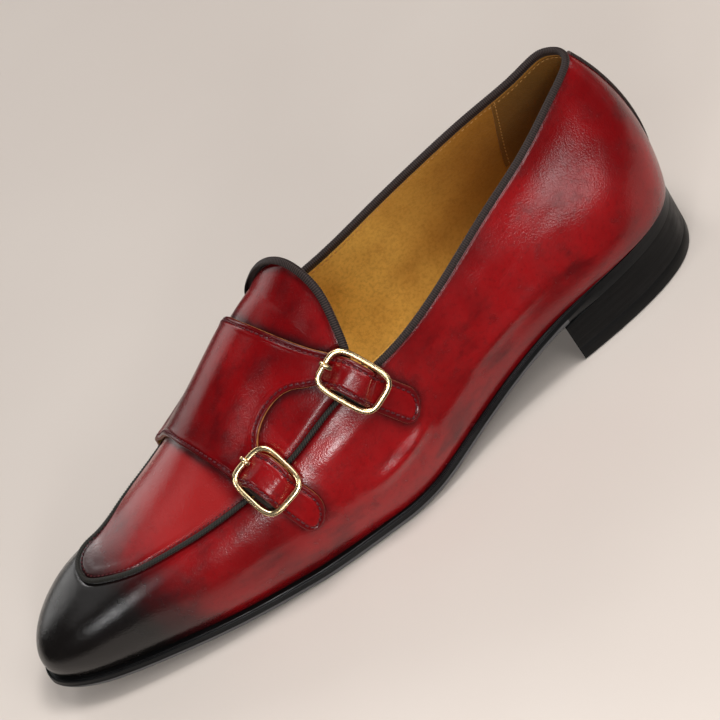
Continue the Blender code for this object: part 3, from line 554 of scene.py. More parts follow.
def leather_material(name, gloss, grain, depth):
    """Hand-burnished calf: mottled crimson with dark edge dye, painted shade and a painted brighter red,
    black at the toe.
    """
    n = Nodes(name, Specular_IOR_Level=gloss)
    broad = n.noise(38, 2)
    middle = n.noise(9, 4, 0.62)
    patches = n.noise(13, 4, 0.6, n.stretched((0.4, 1, 1), 0.45))
    low, high = ([c * depth for c in tint] for tint in (CRIMSON, BRIGHT))
    color = n.mix(n.span(broad, 0.34, 0.66), low, high)
    color = n.mix(n.span(patches, 0.5, 0.74, 0, 0.72), color, DEEP)
    color = n.mix(n.span(middle, 0.52, 0.76, 0, 0.45), color, DEEP)
    color = n.mix(n.span(n.noise(1.8, 4, 0.65), 0.48, 0.72, 0, 0.3), color, DEEP)
    # painted light: below zero the burnish layer turns the red brighter
    color = n.mix(n.span(n.painted("burnish_and_painted_light"), -0.5, 0, 0.75, 0), color, PAINTED_LIGHT_RED)
    # the band's edge dye, and painted shade beside seams, bindings and the sole, darken to maroon
    edge_and_shade = n.math("MULTIPLY", n.painted("edge_and_shade"), n.span(middle, 0.25, 0.75, 0.65, 1))
    color = n.mix(edge_and_shade, color, MAROON)
    # the toe's burnish and the painted shadow beside the band turn the red smoky, then black
    burnish_and_shadow = n.math("ADD", n.painted("burnish_and_painted_light"), n.math("MULTIPLY_ADD", middle, 0.24, -0.12))
    color = n.mix(n.span(burnish_and_shadow, 0.05, 0.62, 0, 0.88), color, SMOKED_BURNISH_AND_SHADOW)
    color = n.mix(n.span(burnish_and_shadow, 0.42, 0.92), color, BLACK_BURNISH_AND_SHADOW)
    normal = n.bump(n.cells(0.75), 0.036 * grain, 0.7)
    normal = n.bump(n.noise(0.6, 1, 0.5), 0.09 * grain, 0.7, normal)
    normal = n.bump(n.noise(4.5, 2), 0.12, 0.5, normal)
    return n.finish(color, n.span(middle, 0.3, 0.7, 0.2, 0.28), normal)


def lining_material(name, light, dark, nap=1):
    """Soft lining leather with a fine nap and rubbed lighter and darker places, and painted shade
    towards the heel.
    """
    n = Nodes(name, Specular_IOR_Level=0.22, Sheen_Weight=0.04, Sheen_Roughness=0.5)
    middle = n.noise(6, 4, 0.62)
    ahead = n.add("SeparateXYZ", {"Vector": n.place}).outputs["X"]
    color = n.mix(n.span(n.noise(30), 0.35, 0.68, 0, 0.35), light, dark)
    # painted shade: darker behind the middle of the shoe, towards the heel
    color = n.mix(n.span(ahead, -0.1, 0, 0.85, 0), color, dark)
    tint = [0.62 * c for c in dark]
    color = n.mix(n.span(middle, 0.45, 0.8, 0, 0.2), color, tint)
    color = n.mix(n.span(n.noise(1.3, 3, 0.6), 0.4, 0.7, 0, 0.25), color, tint)
    normal = n.bump(n.cells(1.6), 0.06, 0.4, n.bump(n.noise(0.8, 3, 0.65), 0.2 * nap, 0.9))
    return n.finish(color, n.span(middle, 0.3, 0.7, 0.5, 0.62), normal)


def plain_material(name, base, pale, cloud, share, rough, bumps, layer=None, streaks=None, **settings):
    """Two colours mixed by a noise, or by a painted layer that the noise breaks up.

    A noise is its size, detail and roughness. A bump is a noise, or None for the first one,
    with its depth and strength. Streaks are long in plan, and gloss follows their own noise.
    """
    n = Nodes(name, **settings)
    mottle = n.noise(*cloud, **({"place": n.stretched(streaks)} if streaks else {}))
    factor = n.span(mottle, *share)
    if layer:
        factor = n.math("MULTIPLY", n.painted(layer), factor)
    normal = None
    for noise, depth, strength in bumps:
        normal = n.bump(n.noise(*noise) if noise else mottle, depth, strength, normal)
    gloss = n.noise(9) if streaks else mottle
    return n.finish(n.mix(factor, base, pale), n.span(gloss, 0.3, 0.7, *rough), normal)


def ribbon_material(name, low, high):
    """Ribbed ribbon: dark, with a painted highlight on the crowns of the threads."""
    return plain_material(name, low, high, (0.5, 2), (0.3, 0.7, 0.6, 1), (0.5, 0.66),
                          [((0.35, 2), 0.05, 0.8)], "crown", Specular_IOR_Level=0.22,
                          Sheen_Weight=0.05, Sheen_Roughness=0.45)


def edge_material(name, base, pale, rough, streak_size=2.4, gloss=0.2):
    """Dressed leather edges with faint lines along the layers: near-black wax, and a painted lighter
    grey on the sole's bevel.
    """
    return plain_material(name, base, pale, (streak_size, 4, 0.6), (0.45, 0.75, 0, 0.6),
                          (rough - 0.06, rough + 0.08), [(None, 0.1, 0.6), ((0.8,), 0.04, 0.6)],
                          streaks=(0.06, 0.06, 1), Specular_IOR_Level=gloss)


def thread_material(name, base, pale):
    return plain_material(name, base, pale, (0.3, 2), (0.45, 0.7), (0.35, 0.5),
                          [(None, 0.05, 1)], Specular_IOR_Level=0.28)


UPPER_LEATHER = leather_material("crimson_calf", 0.45, 1, 0.97)
STRAP_LEATHER = leather_material("crimson_strap_calf", 0.24, 0.8, 0.85)
LINING = lining_material("tan_lining", (0.98, 0.62, 0.13), (0.32, 0.11, 0.008))
GRIP = lining_material("brown_heel_grip", (0.36, 0.17, 0.03), (0.2, 0.09, 0.016), 1.5)
RIBBON_BROWN = ribbon_material("brown_ribbon", (0.0065, 0.0035, 0.003), (0.075, 0.048, 0.042))
ELASTIC = ribbon_material("brown_elastic", (0.01, 0.006, 0.005), (0.05, 0.028, 0.018))
PIPING_BLACK = ribbon_material("black_piping", (0.0022, 0.0022, 0.002), (0.06, 0.054, 0.043))
SOLE_EDGE = edge_material("black_sole_edge", (0.0042, 0.0042, 0.0045), (0.012, 0.012, 0.0125), 0.34)
# painted light: the sole's bevel is a lighter grey, standing in for light from the floor
PAINTED_LIGHT_SOLE_BEVEL = edge_material("grey_sole_bevel", (0.075, 0.075, 0.078), (0.1, 0.1, 0.103), 0.42)
HEEL_STACK = edge_material("black_heel_stack", (0.003, 0.003, 0.0031),
                           (0.008, 0.0078, 0.008), 0.42, 1.2, 0.13)
HEEL_RUBBER = edge_material("black_heel_rubber", (0.0032, 0.0032, 0.0033),
                            (0.007, 0.007, 0.0072), 0.42, 2.4, 0.13)
CUT_EDGE = plain_material("strap_cut_edge", (0.15, 0.012, 0.012), (0.46, 0.2, 0.06),
                          (3, 4, 0.6), (0.3, 0.6, 0.4, 1), (0.45, 0.6),
                          [((0.5,), 0.06, 1)], "tan", Specular_IOR_Level=0.3)
DARK_THREAD = thread_material("maroon_thread", (0.05, 0.004, 0.008), (0.17, 0.028, 0.034))
TAN_THREAD = thread_material("tan_thread", (0.5, 0.24, 0.06), (0.62, 0.36, 0.12))
GOLD = plain_material("pale_gold", (0.94, 0.72, 0.42), (0.86, 0.6, 0.31), (5,), (0.35, 0.7),
                      (0.22, 0.28), [((6, 1), 0.008, 0.3), ((0.6, 3, 0.6), 0.001, 0.3)],
                      Metallic=1)
FLOOR = plain_material("pale_floor", (0.61, 0.543, 0.493), (0.64, 0.576, 0.525), (240,),
                       (0.3, 0.7), (0.55, 0.65), [((1.5,), 0.02, 1)], Specular_IOR_Level=0.3)


# ---- upper

def swell(points):
    """Rise of the wall's outer face from the table of creases."""
    flat = points.reshape(-1, 3)
    rise = np.zeros(len(flat))
    fine = np.linspace(0, 1, 90)
    fade = np.sin(math.pi * fine) ** 0.7
    for side, height, width, *path in CREASES:
        share = np.linspace(0, 1, len(path))
        line = np.stack([spline(share, column)(fine) for column in zip(*path)], -1)
        gap = np.linalg.norm(flat[:, None, ::2] - line[None], axis=2)
        mine = smooth(side * flat[:, 1], 3, 12)
        rise += height * mine * fade[gap.argmin(1)] * bell(gap.min(1), width)
    return rise.reshape(points.shape[:-1])


def band_gap(points, band_edge):
    """How far the upper's points are from the foot of the band's edge."""
    return np.maximum(distances(points, band_edge) - BAND_EDGE_RISE, 0)


def leather_sheet(name, outer, inner, edge_and_shade, burnish_and_painted_light, materials, replaced=(), wrap=False):
    """A sheet of the upper with its dark edges and painted shade, and its burnish with painted shadow
    and light: 1 all black, 0 none, below 0 a painted brighter red.
    """
    data, faces = shell(outer, inner, wrap)
    paint = {"edge_and_shade": np.tile(np.clip(edge_and_shade, 0, 1).ravel(), 2), "burnish_and_painted_light": np.tile(burnish_and_painted_light.ravel(), 2)}
    dull = (data[np.array(faces)[:, 0], 0] < DULL_BEHIND) & (len(materials) > 1)
    make_piece(name, data, faces, materials, "upper_leather", replaced, paint, dull, merge=SHEET_MERGE)


def lining_sheet(name, points, normals, near, far, material=LINING, wrap=False):
    """A sheet between two depths behind the upper's outer face."""
    make_piece(name, *shell(points - near * normals, points - far * normals, wrap), [material],
               "insole_lining", merge=SHEET_MERGE)


def build_wall(band_edge):
    """Vamp and quarters in one leather wall, with its lining behind it."""
    angles = np.linspace(0, 2 * math.pi, 400, endpoint=False)
    heights = np.concatenate([np.linspace(0, 0.9, 40, endpoint=False), np.linspace(0.9, 1, 16)])
    points = wall_point(angles[:, None], heights)
    normals = grid_normals(points, wrap=True)
    seam = distances(points, SEAM)
    foot, top = (np.linalg.norm(points - wall_point(angles, end)[:, None], axis=-1) for end in (0, 1))
    collar = np.cos(angles)[:, None] > 0
    sink = SEAM_SINK * bell(seam, 1.5)
    sink += collar * 0.22 * (1 - smooth(top, RIBBON_OUTSIDE, RIBBON_OUTSIDE + 1.2))
    relief = swell(points) * smooth(top, 1, 8) * smooth(heights, 0, 0.15) - sink
    # painted shade: darker beside the piped seam and along the join with the sole
    edge_and_shade = 0.75 * bell(seam, 2.6) + 0.55 * bell(foot, 3.2)
    # painted shade under the collar binding's edge
    edge_and_shade += collar * 0.45 * bell(top - RIBBON_OUTSIDE, 2.2)
    near_band = band_gap(points, band_edge)
    # painted shadow: darker beside the band's edge
    edge_and_shade += 0.65 * bell(near_band, 1.3)
    x = points[..., 0] + 0.12 * (30 - points[..., 2])
    burnish_and_painted_light = 0.78 * smooth(x, 214, 257) + 0.22 * smooth(x, 244, 266)
    # painted shadow beside the band, in the burnish layer
    burnish_and_painted_light += 0.22 * bell(near_band, 0.7)
    leather_sheet("vamp_and_quarters", points + relief[..., None] * normals,
                  points - (LEATHER + np.maximum(sink - 0.5, 0))[..., None] * normals,
                  edge_and_shade, burnish_and_painted_light, [UPPER_LEATHER], ("upper",), True)
    rings = [*range(0, 40, 2), *range(40, 55, 3), 55]
    lining_sheet("wall_lining", points[::2, rings], normals[::2, rings], LINING_DEPTH, WALL, wrap=True)


def build_apron(band_edge):
    """Apron and tongue: one crowned sheet inside the piped seam, and its lining."""
    across = np.linspace(0, 1, 65)
    across = across - 0.055 * np.sin(4 * math.pi * across) / 2
    points = plug_rows(across, TONGUE_REACH(across), 18, 110)
    normals = grid_normals(points)
    normals[:, :2] = normals[:, 2:3]
    normals[:, -2:] = normals[:, -3:-2]
    normals[-2:] = normals[-3]
    seam = distances(points, SEAM)
    free = distances(points, tongue_edge(np.linspace(0, 1, 300)))
    relief = 0.25 * bell(seam - 3.6, 2) - SEAM_SINK * bell(seam, 1.5)
    relief -= 0.22 * (1 - smooth(free, RIBBON_OUTSIDE, RIBBON_OUTSIDE + 1.2))
    inner = points - LEATHER * normals - 0.4 * bell(seam, 1.5)[..., None] * normals
    near_band = band_gap(points, band_edge)
    # painted shade beside the seam and under the tongue's binding, and a painted shadow beside the band
    edge_and_shade = 0.6 * bell(seam, 2.4) + 0.4 * bell(free - 2.3, 2.2) + 0.7 * bell(near_band, 1.7)
    x = points[..., 0]
    burnish_and_painted_light = 0.76 * smooth(x, 233, 264)
    # painted light: a brighter red over the middle of the apron
    burnish_and_painted_light -= 0.5 * smooth(x, 196, 206) * (1 - smooth(x, 218, 246))
    # painted shadow beside the band
    burnish_and_painted_light += 0.5 * bell(near_band, 0.8)
    leather_sheet("apron_and_tongue", points + relief[..., None] * normals, inner, edge_and_shade, burnish_and_painted_light,
                  [UPPER_LEATHER, STRAP_LEATHER])
    lining_sheet("apron_lining", points[::2, ::2], normals[::2, ::2], LINING_DEPTH, WALL)


# ---- ribbon, piping, stitches

def ribbed_strip(name, line, outward, past, section, pitch, rise, twist, material, slot, replaced):
    """A ribbed strip: section points of (out, past) swept along a line, ribs across it."""
    section = np.array(section)
    away = unit(section - section.mean(0))
    turn = np.arctan2(away[:, 1], away[:, 0])
    wave = 0.5 + 0.5 * np.cos(2 * math.pi * run_along(line)[:, None] / pitch + twist * turn)
    place = section + away * (rise * (wave[..., None] - 0.5))
    points = (line[:, None] + place[..., :1] * outward[:, None] + place[..., 1:] * past[:, None])
    # the crowns of the ribs carry the painted highlight
    make_piece(name, points, tube_faces(len(line), len(section)), [material], slot, replaced,
               {"crown": wave ** 3.5}, sharp=75)


def fold_section():
    """The binding's folded section round a free edge: out from the face, up past the edge."""
    half = WALL / 2 + RIBBON
    crest = [(-WALL / 2 + half * math.cos(t), 0.1 + 0.75 * half * math.sin(t))
             for t in np.linspace(0, math.pi, 7)]
    down, inside = -RIBBON_OUTSIDE, -RIBBON_INSIDE
    return [(0.02, down), (RIBBON * 0.9, down + 0.1), (RIBBON, down * 0.5), *crest,
            (-WALL - RIBBON, inside * 0.5), (-WALL - RIBBON * 0.9, inside + 0.1),
            (-WALL - 0.02, inside), (-WALL - 0.02, -0.2), (0.02, -0.2)]


def rim_vectors(line, below):
    """Outward normal and the way past the edge, along a free edge of the upper."""
    ahead = unit(np.gradient(line, axis=0))
    normal = unit(np.cross(ahead, unit(line - below)))
    return normal, np.cross(normal, ahead)


def build_bindings():
    step = RIB_PITCH / 4.5
    angles = respaced(top_edge, np.radians(np.linspace(88, -88, 3000)), step)
    across = respaced(tongue_edge, np.linspace(0.975, 0.012, 3000), step)[::-1]
    for name, line, below in (
            ("collar", top_edge(angles), wall_point(angles, 0.96)),
            ("tongue", tongue_edge(across), tongue_edge(across, 4))):
        ribbed_strip(name + "_ribbon", line, *rim_vectors(line, below), fold_section(),
                     RIB_PITCH, 0.16, 0, RIBBON_BROWN, "ribbon_brown", (name + "_binding",))


def seam_vectors(angles):
    """Points along the seam, the way across it in the surface, and its outward normal."""
    points = top_edge(angles)
    ahead = unit(top_edge(angles + 0.01) - top_edge(angles - 0.01))
    past = unit(points - wall_point(angles, 0.97))
    normal = softened(unit(np.cross(past, ahead)), 6)
    return points, np.cross(ahead, normal), normal


def build_pipings():
    ends = (THROAT_ANGLE + 0.02, 2 * math.pi - THROAT_ANGLE - 0.02)
    points, side, normal = seam_vectors(respaced(top_edge, np.linspace(*ends, 6000), 0.2))
    section = [(0.3 + 0.95 * CORD * math.cos(t), 1.05 * CORD * math.sin(t)) for t in turns(12)]
    ribbed_strip("apron_cord", points, normal, side, section, 1.15, 0.34, 3, PIPING_BLACK,
                 "piping_black", ("apron_piping",))
    heights = np.linspace(0.015, 0.962, 420)
    line = wall_point(0.06 * np.sin(math.pi * heights) ** 0.7, heights)
    side = np.tile((0, 1, 0), (len(line), 1))
    outward = unit(np.cross(unit(np.gradient(line, axis=0)), side))
    section = ((0, -1.35), (0.45, -1.3), (0.85, -0.8), (0.98, 0), (0.85, 0.8), (0.45, 1.3), (0, 1.35))
    ribbed_strip("back_seam_ribbon", line, outward, side, section, RIB_PITCH, 0.12, 0,
                 RIBBON_BROWN, "ribbon_brown", ("back_seam_piping",))


def stitches(name, rows, material, slot, length, radius, pitch, slant):
    """Sewn rows, one mesh: each row is a line of places and the normals along it."""
    lean = math.radians(slant)
    points = []
    faces = []
    for line, normals in rows:
        run = run_along(line)
        for at in np.arange(pitch * 0.5, run[-1], pitch):
            place = line_at(at, run, line)
            ahead = line_at(at + 0.4, run, line) - line_at(at - 0.4, run, line)
            up = unit(line_at(at, run, normals))
            ahead = unit(ahead - (ahead @ up) * up)
            side = np.cross(up, ahead)
            ahead, side = swing(ahead, side, lean), swing(side, -ahead, lean)
            faces += [[len(points) + v for v in face] for face in tube_faces(5, 6)]
            for share, drop, fat in ((-1, -1.5, 0.75), (-0.72, 0, 1), (0, 0.55, 1),
                                     (0.72, 0, 1), (1, -1.5, 0.75)):
                centre = place + share * length / 2 * ahead + drop * radius * up
                points += [centre + radius * fat * swing(side, up, t) for t in turns(6)]
    make_piece(name, points, faces, [material], slot)


# ---- band and straps

def girth_tree():
    """The upper's outer face as a tree, with a tongue that reaches back under the straps."""
    angles = np.linspace(0, 2 * math.pi, 240, endpoint=False)
    wall = wall_point(angles[:, None], np.linspace(0, 1, 28))
    across = np.linspace(0, 1, 41)
    reach = 28 * np.sin(math.pi * across) ** 0.15
    reach[[0, -1]] = 0
    plug = plug_rows(across, reach, 10, 70)
    index = np.arange(wall[..., 0].size).reshape(wall.shape[:2])
    faces = grid_quads(np.concatenate([index, index[:1]]))
    faces += grid_quads(np.arange(plug[..., 0].size).reshape(plug.shape[:2]) + index.size)
    points = np.concatenate([wall.reshape(-1, 3), plug.reshape(-1, 3)])
    return BVHTree.FromPolygons(points.tolist(), faces)


class Girths:
    """Sections of the upper, kept by station, and the heights that the band takes over it."""

    def __init__(self):
        self.tree = girth_tree()
        self.kept = {}
        self.planes = []
        for bar, _, _, turn in (UPPER_BUCKLE, LOWER_BUCKLE):
            turn = math.radians(turn)
            place, along, ahead, normal = self.frame(*bar, 8)
            self.planes.append((bar, turn, place, swing(along, ahead, turn), normal))

    def cast(self, x):
        """The upper's section at x, from the inner foot over the crest to the outer foot."""
        ways = np.radians(np.arange(-26, 207, 1.5))
        hits = []
        for way in ways:
            place, _, _, reach = self.tree.ray_cast((x, 0, CHART_AXIS_Z),
                                                    (0, math.cos(way), math.sin(way)))
            if place is not None:
                hits.append((way, reach))
        at, reach = np.array(hits).T
        ways = ways[(ways >= at[0]) & (ways <= at[-1])][::-1]
        reach = softened(np.interp(ways, at, reach), 2)
        return np.stack([np.full(ways.shape, x), reach * np.cos(ways),
                         CHART_AXIS_Z + reach * np.sin(ways)], -1)

    def section(self, x):
        """The section at x and the arc at its points, from the crest, positive outward."""
        key = round(float(x), 2)
        if key not in self.kept:
            section = self.cast(key)
            run = run_along(section)
            self.kept[key] = (section, run - np.interp(0, section[:, 1], run))
        return self.kept[key]

    def point(self, x, arc):
        """A point of the chart."""
        section, run = self.section(x)
        return line_at(arc, run, section)

    def frame(self, x, arc, span=2):
        """Point, direction along the girth, direction to the toe and outward normal."""
        along = unit(self.point(x, arc + span) - self.point(x, arc - span))
        ahead = unit(self.point(x + span, arc) - self.point(x - span, arc))
        normal = unit(np.cross(ahead, along))
        return self.point(x, arc), along, unit(np.cross(along, normal)), normal

    def seat(self, x, arc, arch=STRAP_ARCH):
        """A point of the band's underside and its normal; flat and arched inside a buckle."""
        point, _, _, normal = self.frame(x, arc)
        near = float(np.min(np.linalg.norm(SEAM - point, axis=1)))
        height = SEAM_LIFT * math.exp(-(max(near - 1.6, 0) / 2.8) ** 2)
        place = point + (BAND_LIFT + height) * normal
        for (bar_x, bar_arc), turn, centre, long_way, over in self.planes:
            way = swing(arc - bar_arc, x - bar_x, turn)
            off = swing(x - bar_x, bar_arc - arc, turn)
            if arc > 15 and abs(off) < 12:
                weight = math.exp(-(way / STRAP_ARCH_RUN) ** 4)
                flat = centre + way * long_way + off * np.cross(long_way, over) + arch * over
                place = place + weight * (flat - place)
                normal = unit(normal + weight * (over - normal))
        return place, normal


def strap_rows(strap, bar, strips):
    """Chart rows of a strap after its base, each from its back edge to its front edge."""
    base, tip = np.array(strap[:2])
    half = strap[2]
    length = float(np.linalg.norm(tip - base))
    way = (tip - base) / length
    side = np.array([way[1], -way[0]])
    middle = float((np.array(bar) - base) @ way)
    tail = 1.3 * half
    runs = [middle + step for step in (-13.5, -10, -7.2, -4.8, -2.4, 0, 2.4, 4.8, 7.2, 10, 14,
                                       18, 22, 26)]
    runs = [run for run in runs if 1.5 < run < length - tail - 1]
    runs += [length - tail * share for share in (1, 0.62, 0.32, 0.11, 0.02)]
    out = []
    for run in runs:
        left = min(1, (length - run) / tail)
        width = half * math.sqrt(1 - (1 - left) ** 2)
        more = math.exp(-((run - middle) / 8) ** 4)
        out.append([base + run * way
                    + (k * width - more * (STRAP_BACK * (1 - k) + STRAP_FRONT * (1 + k))) * side
                    for k in np.linspace(-1, 1, strips + 1)])
    return out


def band_patches(girths):
    """The band as rows of chart points: the main rows, and each strap after its base row."""
    downs, backs, fronts = np.array(BAND_ROWS).T
    fork = np.array(FORK_BACK + FORK_CUT + FORK_FRONT)
    share = (fork[:, 0] - fork[0, 0]) / (fork[-1, 0] - fork[0, 0])
    main = []
    for down in BAND_SHARES:
        back = np.interp(down, downs, backs)
        x = back + share * (np.interp(down, downs, fronts) - back)
        arc = [down * (girths.section(v)[1][0] + 2) for v in x]
        main.append(np.stack([x, arc], -1))
    crest = main[-1]
    for way in np.linspace(0, 1, 8)[1:]:
        row = crest + way * (fork - crest)
        row[:, 0] += way * (1 - way) * 5 * (1 - share)
        main.append(row)
    strips = len(FORK_BACK) - 1
    return (main, [row[:strips + 1] for row in main[-1:]]
            + strap_rows(UPPER_STRAP, UPPER_BUCKLE[0], strips),
            [row[-strips - 1:] for row in main[-1:]]
            + strap_rows(LOWER_STRAP, LOWER_BUCKLE[0], strips))


def subdivided(points, quads, levels):
    """A smoothed copy of a coarse sheet: its points and its quads."""
    mesh = bpy.data.meshes.new("coarse")
    mesh.from_pydata(points, [], quads)
    item = placed("coarse", mesh)
    finer = item.modifiers.new("finer", "SUBSURF")
    finer.levels = finer.render_levels = levels
    smoothed = item.evaluated_get(bpy.context.evaluated_depsgraph_get())
    fine = smoothed.to_mesh()
    out = np.array([vertex.co for vertex in fine.vertices], float)
    faces = [list(face.vertices) for face in fine.polygons]
    smoothed.to_mesh_clear()
    bpy.data.objects.remove(item, do_unlink=True)
    bpy.data.meshes.remove(mesh)
    return out, faces


def boundary_loop(faces):
    """Point numbers along a sheet's single border, in the order of its faces."""
    edges = {pair: None for face in faces for pair in zip(face, face[1:] + face[:1])}
    follow = {a: b for a, b in edges if (b, a) not in edges}
    loop = [next(iter(follow))]
    while follow[loop[-1]] != loop[0]:
        loop.append(follow[loop[-1]])
    return loop


def vertex_normals(points, faces):
    """Area-weighted normals of a quad sheet."""
    quads = np.array(faces)
    corners = points[quads]
    cross = np.cross(corners[:, 2] - corners[:, 0], corners[:, 3] - corners[:, 1])
    normals = np.zeros_like(points)
    for k in range(4):
        np.add.at(normals, quads[:, k], cross)
    return unit(normals)


def build_band(girths):
    """The band and its straps in one sheet, with its cut edges and its stitches."""
    coarse = []
    quads = []
    index = {}

    def corner(chart):
        key = tuple(round(float(value), 3) for value in chart)
        if key not in index:
            index[key] = len(coarse)
            place, normal = girths.seat(*key)
            coarse.append(place + BAND * normal)
        return index[key]

    for patch in band_patches(girths):
        for near, far in zip(patch, patch[1:]):
            for k in range(len(near) - 1):
                quads.append([corner(c) for c in (near[k], near[k + 1], far[k + 1], far[k])])
    points, faces = subdivided(coarse, quads, 3)
    normals = vertex_normals(points, faces)
    loop = boundary_loop(faces)
    border = points[loop]
    dense = resample(np.concatenate([border, border[:1]]), 0.3)
    away = distances(points, dense)
    relief = -0.45 * np.clip(1 - away / 0.6, 0, 1) ** 2
    relief += 0.1 * bell(away - 0.95, 0.35)
    relief -= 0.32 * bell(away - STITCH_INSET, 0.48)
    relief += 0.14 * bell(away - 2.7, 0.8)
    top = points + relief[:, None] * normals
    sideways = unit(np.cross(normals[loop], np.roll(border, -1, 0) - np.roll(border, 1, 0)))
    middle = border - BAND * 0.5 * normals[loop] - 0.12 * sideways
    data = np.concatenate([top, points - BAND * normals, middle])
    count, total = len(points), len(loop)
    rings = np.stack([loop, np.arange(total) + 2 * count, np.array(loop) + count], 1)
    after = np.roll(rings, -1, 0)
    cut = np.stack([after[:, :-1], rings[:, :-1], rings[:, 1:], after[:, 1:]], -1)
    bottom = [[v + count for v in reversed(face)] for face in faces]
    centres = points[np.array(faces)].mean(1)
    humps = np.min([np.linalg.norm(centres - plane[2], axis=1) for plane in girths.planes], 0)
    kinds = [*(3 * (humps < 11)), *[2] * len(faces), *[1] * 2 * total]
    x, y, z = points.T
    in_cut = (x > 153) & (x < 182) & (y > 15) & (z > 55)
    tan = np.where(in_cut, 1, np.where((x < 168) & (y < 33), 0.75, 0.3))
    edge_and_shade = np.clip(0.62 * np.exp(-(away / 2.1) ** 6), 0, 1)
    paint = {key: np.concatenate([value, value, value[loop]])
             for key, value in (("edge_and_shade", edge_and_shade), ("burnish_and_painted_light", 0 * edge_and_shade), ("tan", tan))}
    make_piece("monk_band_leather", data, faces + bottom + cut.reshape(-1, 4).tolist(),
               [STRAP_LEATHER, CUT_EDGE, LINING, UPPER_LEATHER], "strap_leather",
               ("monk_band",), paint, kinds, 60)
    seat = BVHTree.FromPolygons(top.tolist(), faces)
    sewn = np.flatnonzero(((z > BAND_FOOT) | (y > 0))[loop])
    line = resample(softened((border + STITCH_INSET * sideways)[sewn], 4), 0.5)
    line, seats = zip(*[seat.find_nearest(place)[:2] for place in line])
    stitches("band_stitches", [(softened(line, 2), softened(seats, 6))], DARK_THREAD,
             "strap_leather", 1.8, 0.36, STITCH_PITCH, 10)
    return dense


# ---- buckles

def squared(share, power):
    return np.sign(share) * np.abs(share) ** power


def buckle_path(length, width):
    """Centre line of the wire: a rectangle with bowed sides and soft corners."""
    turn = np.linspace(0, 2 * math.pi, 721)
    x = (length / 2 - WIRE) * squared(np.cos(turn), 2 / BUCKLE_SQUARE)
    y = (width / 2 - WIRE) * squared(np.sin(turn), 2 / BUCKLE_SQUARE)
    return resample(np.stack([x, y, 0 * x], -1), 0.5)[:-1, :2]


def build_buckle(plane, buckle, label, stub):
    """A buckle's frame, the bar inside it and the prong, whose end sticks out by stub."""
    _, length, width, _ = buckle
    _, _, place, long_way, normal = plane
    short_way = np.cross(normal, long_way)
    centre = place + BUCKLE_LIFT * normal

    def gold(part, points, faces, replaced=(), sharp=50):
        make_piece(label + part, points, faces, [GOLD], "buckle_gold", replaced, sharp=sharp)

    path = buckle_path(length, width)
    ring = centre + path[:, :1] * long_way + path[:, 1:] * short_way
    out = unit(np.cross(unit(np.roll(ring, -1, 0) - np.roll(ring, 1, 0)), normal))
    points = [[p + 1.13 * squared(math.cos(t), 0.82) * o + squared(math.sin(t), 0.82) * normal
               for t in turns(20)] for p, o in zip(ring, out)]
    gold("_buckle_frame", points, tube_faces(len(ring), 20, True), (label + "_buckle",))
    points = [[centre + share * (width / 2 - WIRE) * short_way
               + 0.75 * BAR * math.cos(t) * long_way
               + (0.6 * BAR * math.sin(t) - 2.3 * (1 - share ** 16)) * normal
               for t in turns(20)[::2]] for share in np.linspace(-1, 1, 13)]
    gold("_buckle_bar", points, tube_faces(13, 10))
    end = WIRE - length / 2
    top = WIRE + 0.62
    path = np.array((
        (end + stub, top - 0.75), (end + 0.75 * stub, top - 0.4), (end + 0.5 * stub, top - 0.1),
        (end + 0.8, top), (end + 0.2, top + 0.05), (end - 0.6, top - 0.02),
        (end - 1.4, top - 0.35), (end - 1.75, top - 0.8)))
    section = ((-0.9, -0.42), (-0.9, 0.05), (-0.75, 0.32), (-0.4, 0.5), (0, 0.56),
               (0.4, 0.5), (0.75, 0.32), (0.9, 0.05), (0.9, -0.42))
    points = [[centre + a * long_way + h * normal + s * short_way
               + u * (down * long_way - back * normal) for s, u in section]
              for (a, h), (back, down) in zip(path, unit(np.gradient(path, axis=0)))]
    gold("_buckle_prong", points, tube_faces(len(path), len(section)), (label + "_prong",), 55)


def build_elastic(girths, strap, buckle, label):
    """Dark elastic over the buckle's bar, under the strap."""
    way = unit(np.array(strap[1]) - np.array(strap[0]))
    side = np.array([way[1], -way[0]])
    half = buckle[2] / 2 - 2.1
    offs = np.linspace(2.5 - half, half, 60)
    ribs = np.cos(2 * math.pi * offs / 0.9)
    top, low = np.zeros((2, 34, 60, 3))
    for i, run in enumerate(np.linspace(-8.2, 8.2, 34)):
        for j, off in enumerate(offs):
            place, normal = girths.seat(*(buckle[0] + run * way + off * side), 0.35 * STRAP_ARCH)
            top[i, j] = place + (0.1 * ribs[j] - 0.3) * normal
            low[i, j] = top[i, j] - 0.5 * normal
    # the crowns of the ribs carry the painted highlight
    make_piece(label + "_elastic", *shell(top, low), [ELASTIC], "ribbon_brown",
               paint={"crown": np.tile(0.5 + 0.5 * ribs, 2 * 34)})


# ---- sole, insole and heel

def tucked(angle, outset):
    """An outset of the sole or the heel, drawn in under the back of the upper."""
    return outset - HEEL_TUCK * np.maximum(np.cos(angle), 0) ** 4


def plan_rows(angles, outset, strips, bow=0):
    """Rows in plan from the outer edge to the inner one, curved back by bow."""
    outer, _ = sole_edge(angles, outset)
    inner, _ = sole_edge(-angles, outset)
    share = np.linspace(0, 1, strips + 1)
    rows = outer[:, None] + share[:, None] * (inner - outer)[:, None]
    rows[..., 0] -= np.multiply.outer(bow * np.ones(len(angles)), 4 * share) * (1 - share)
    return rows


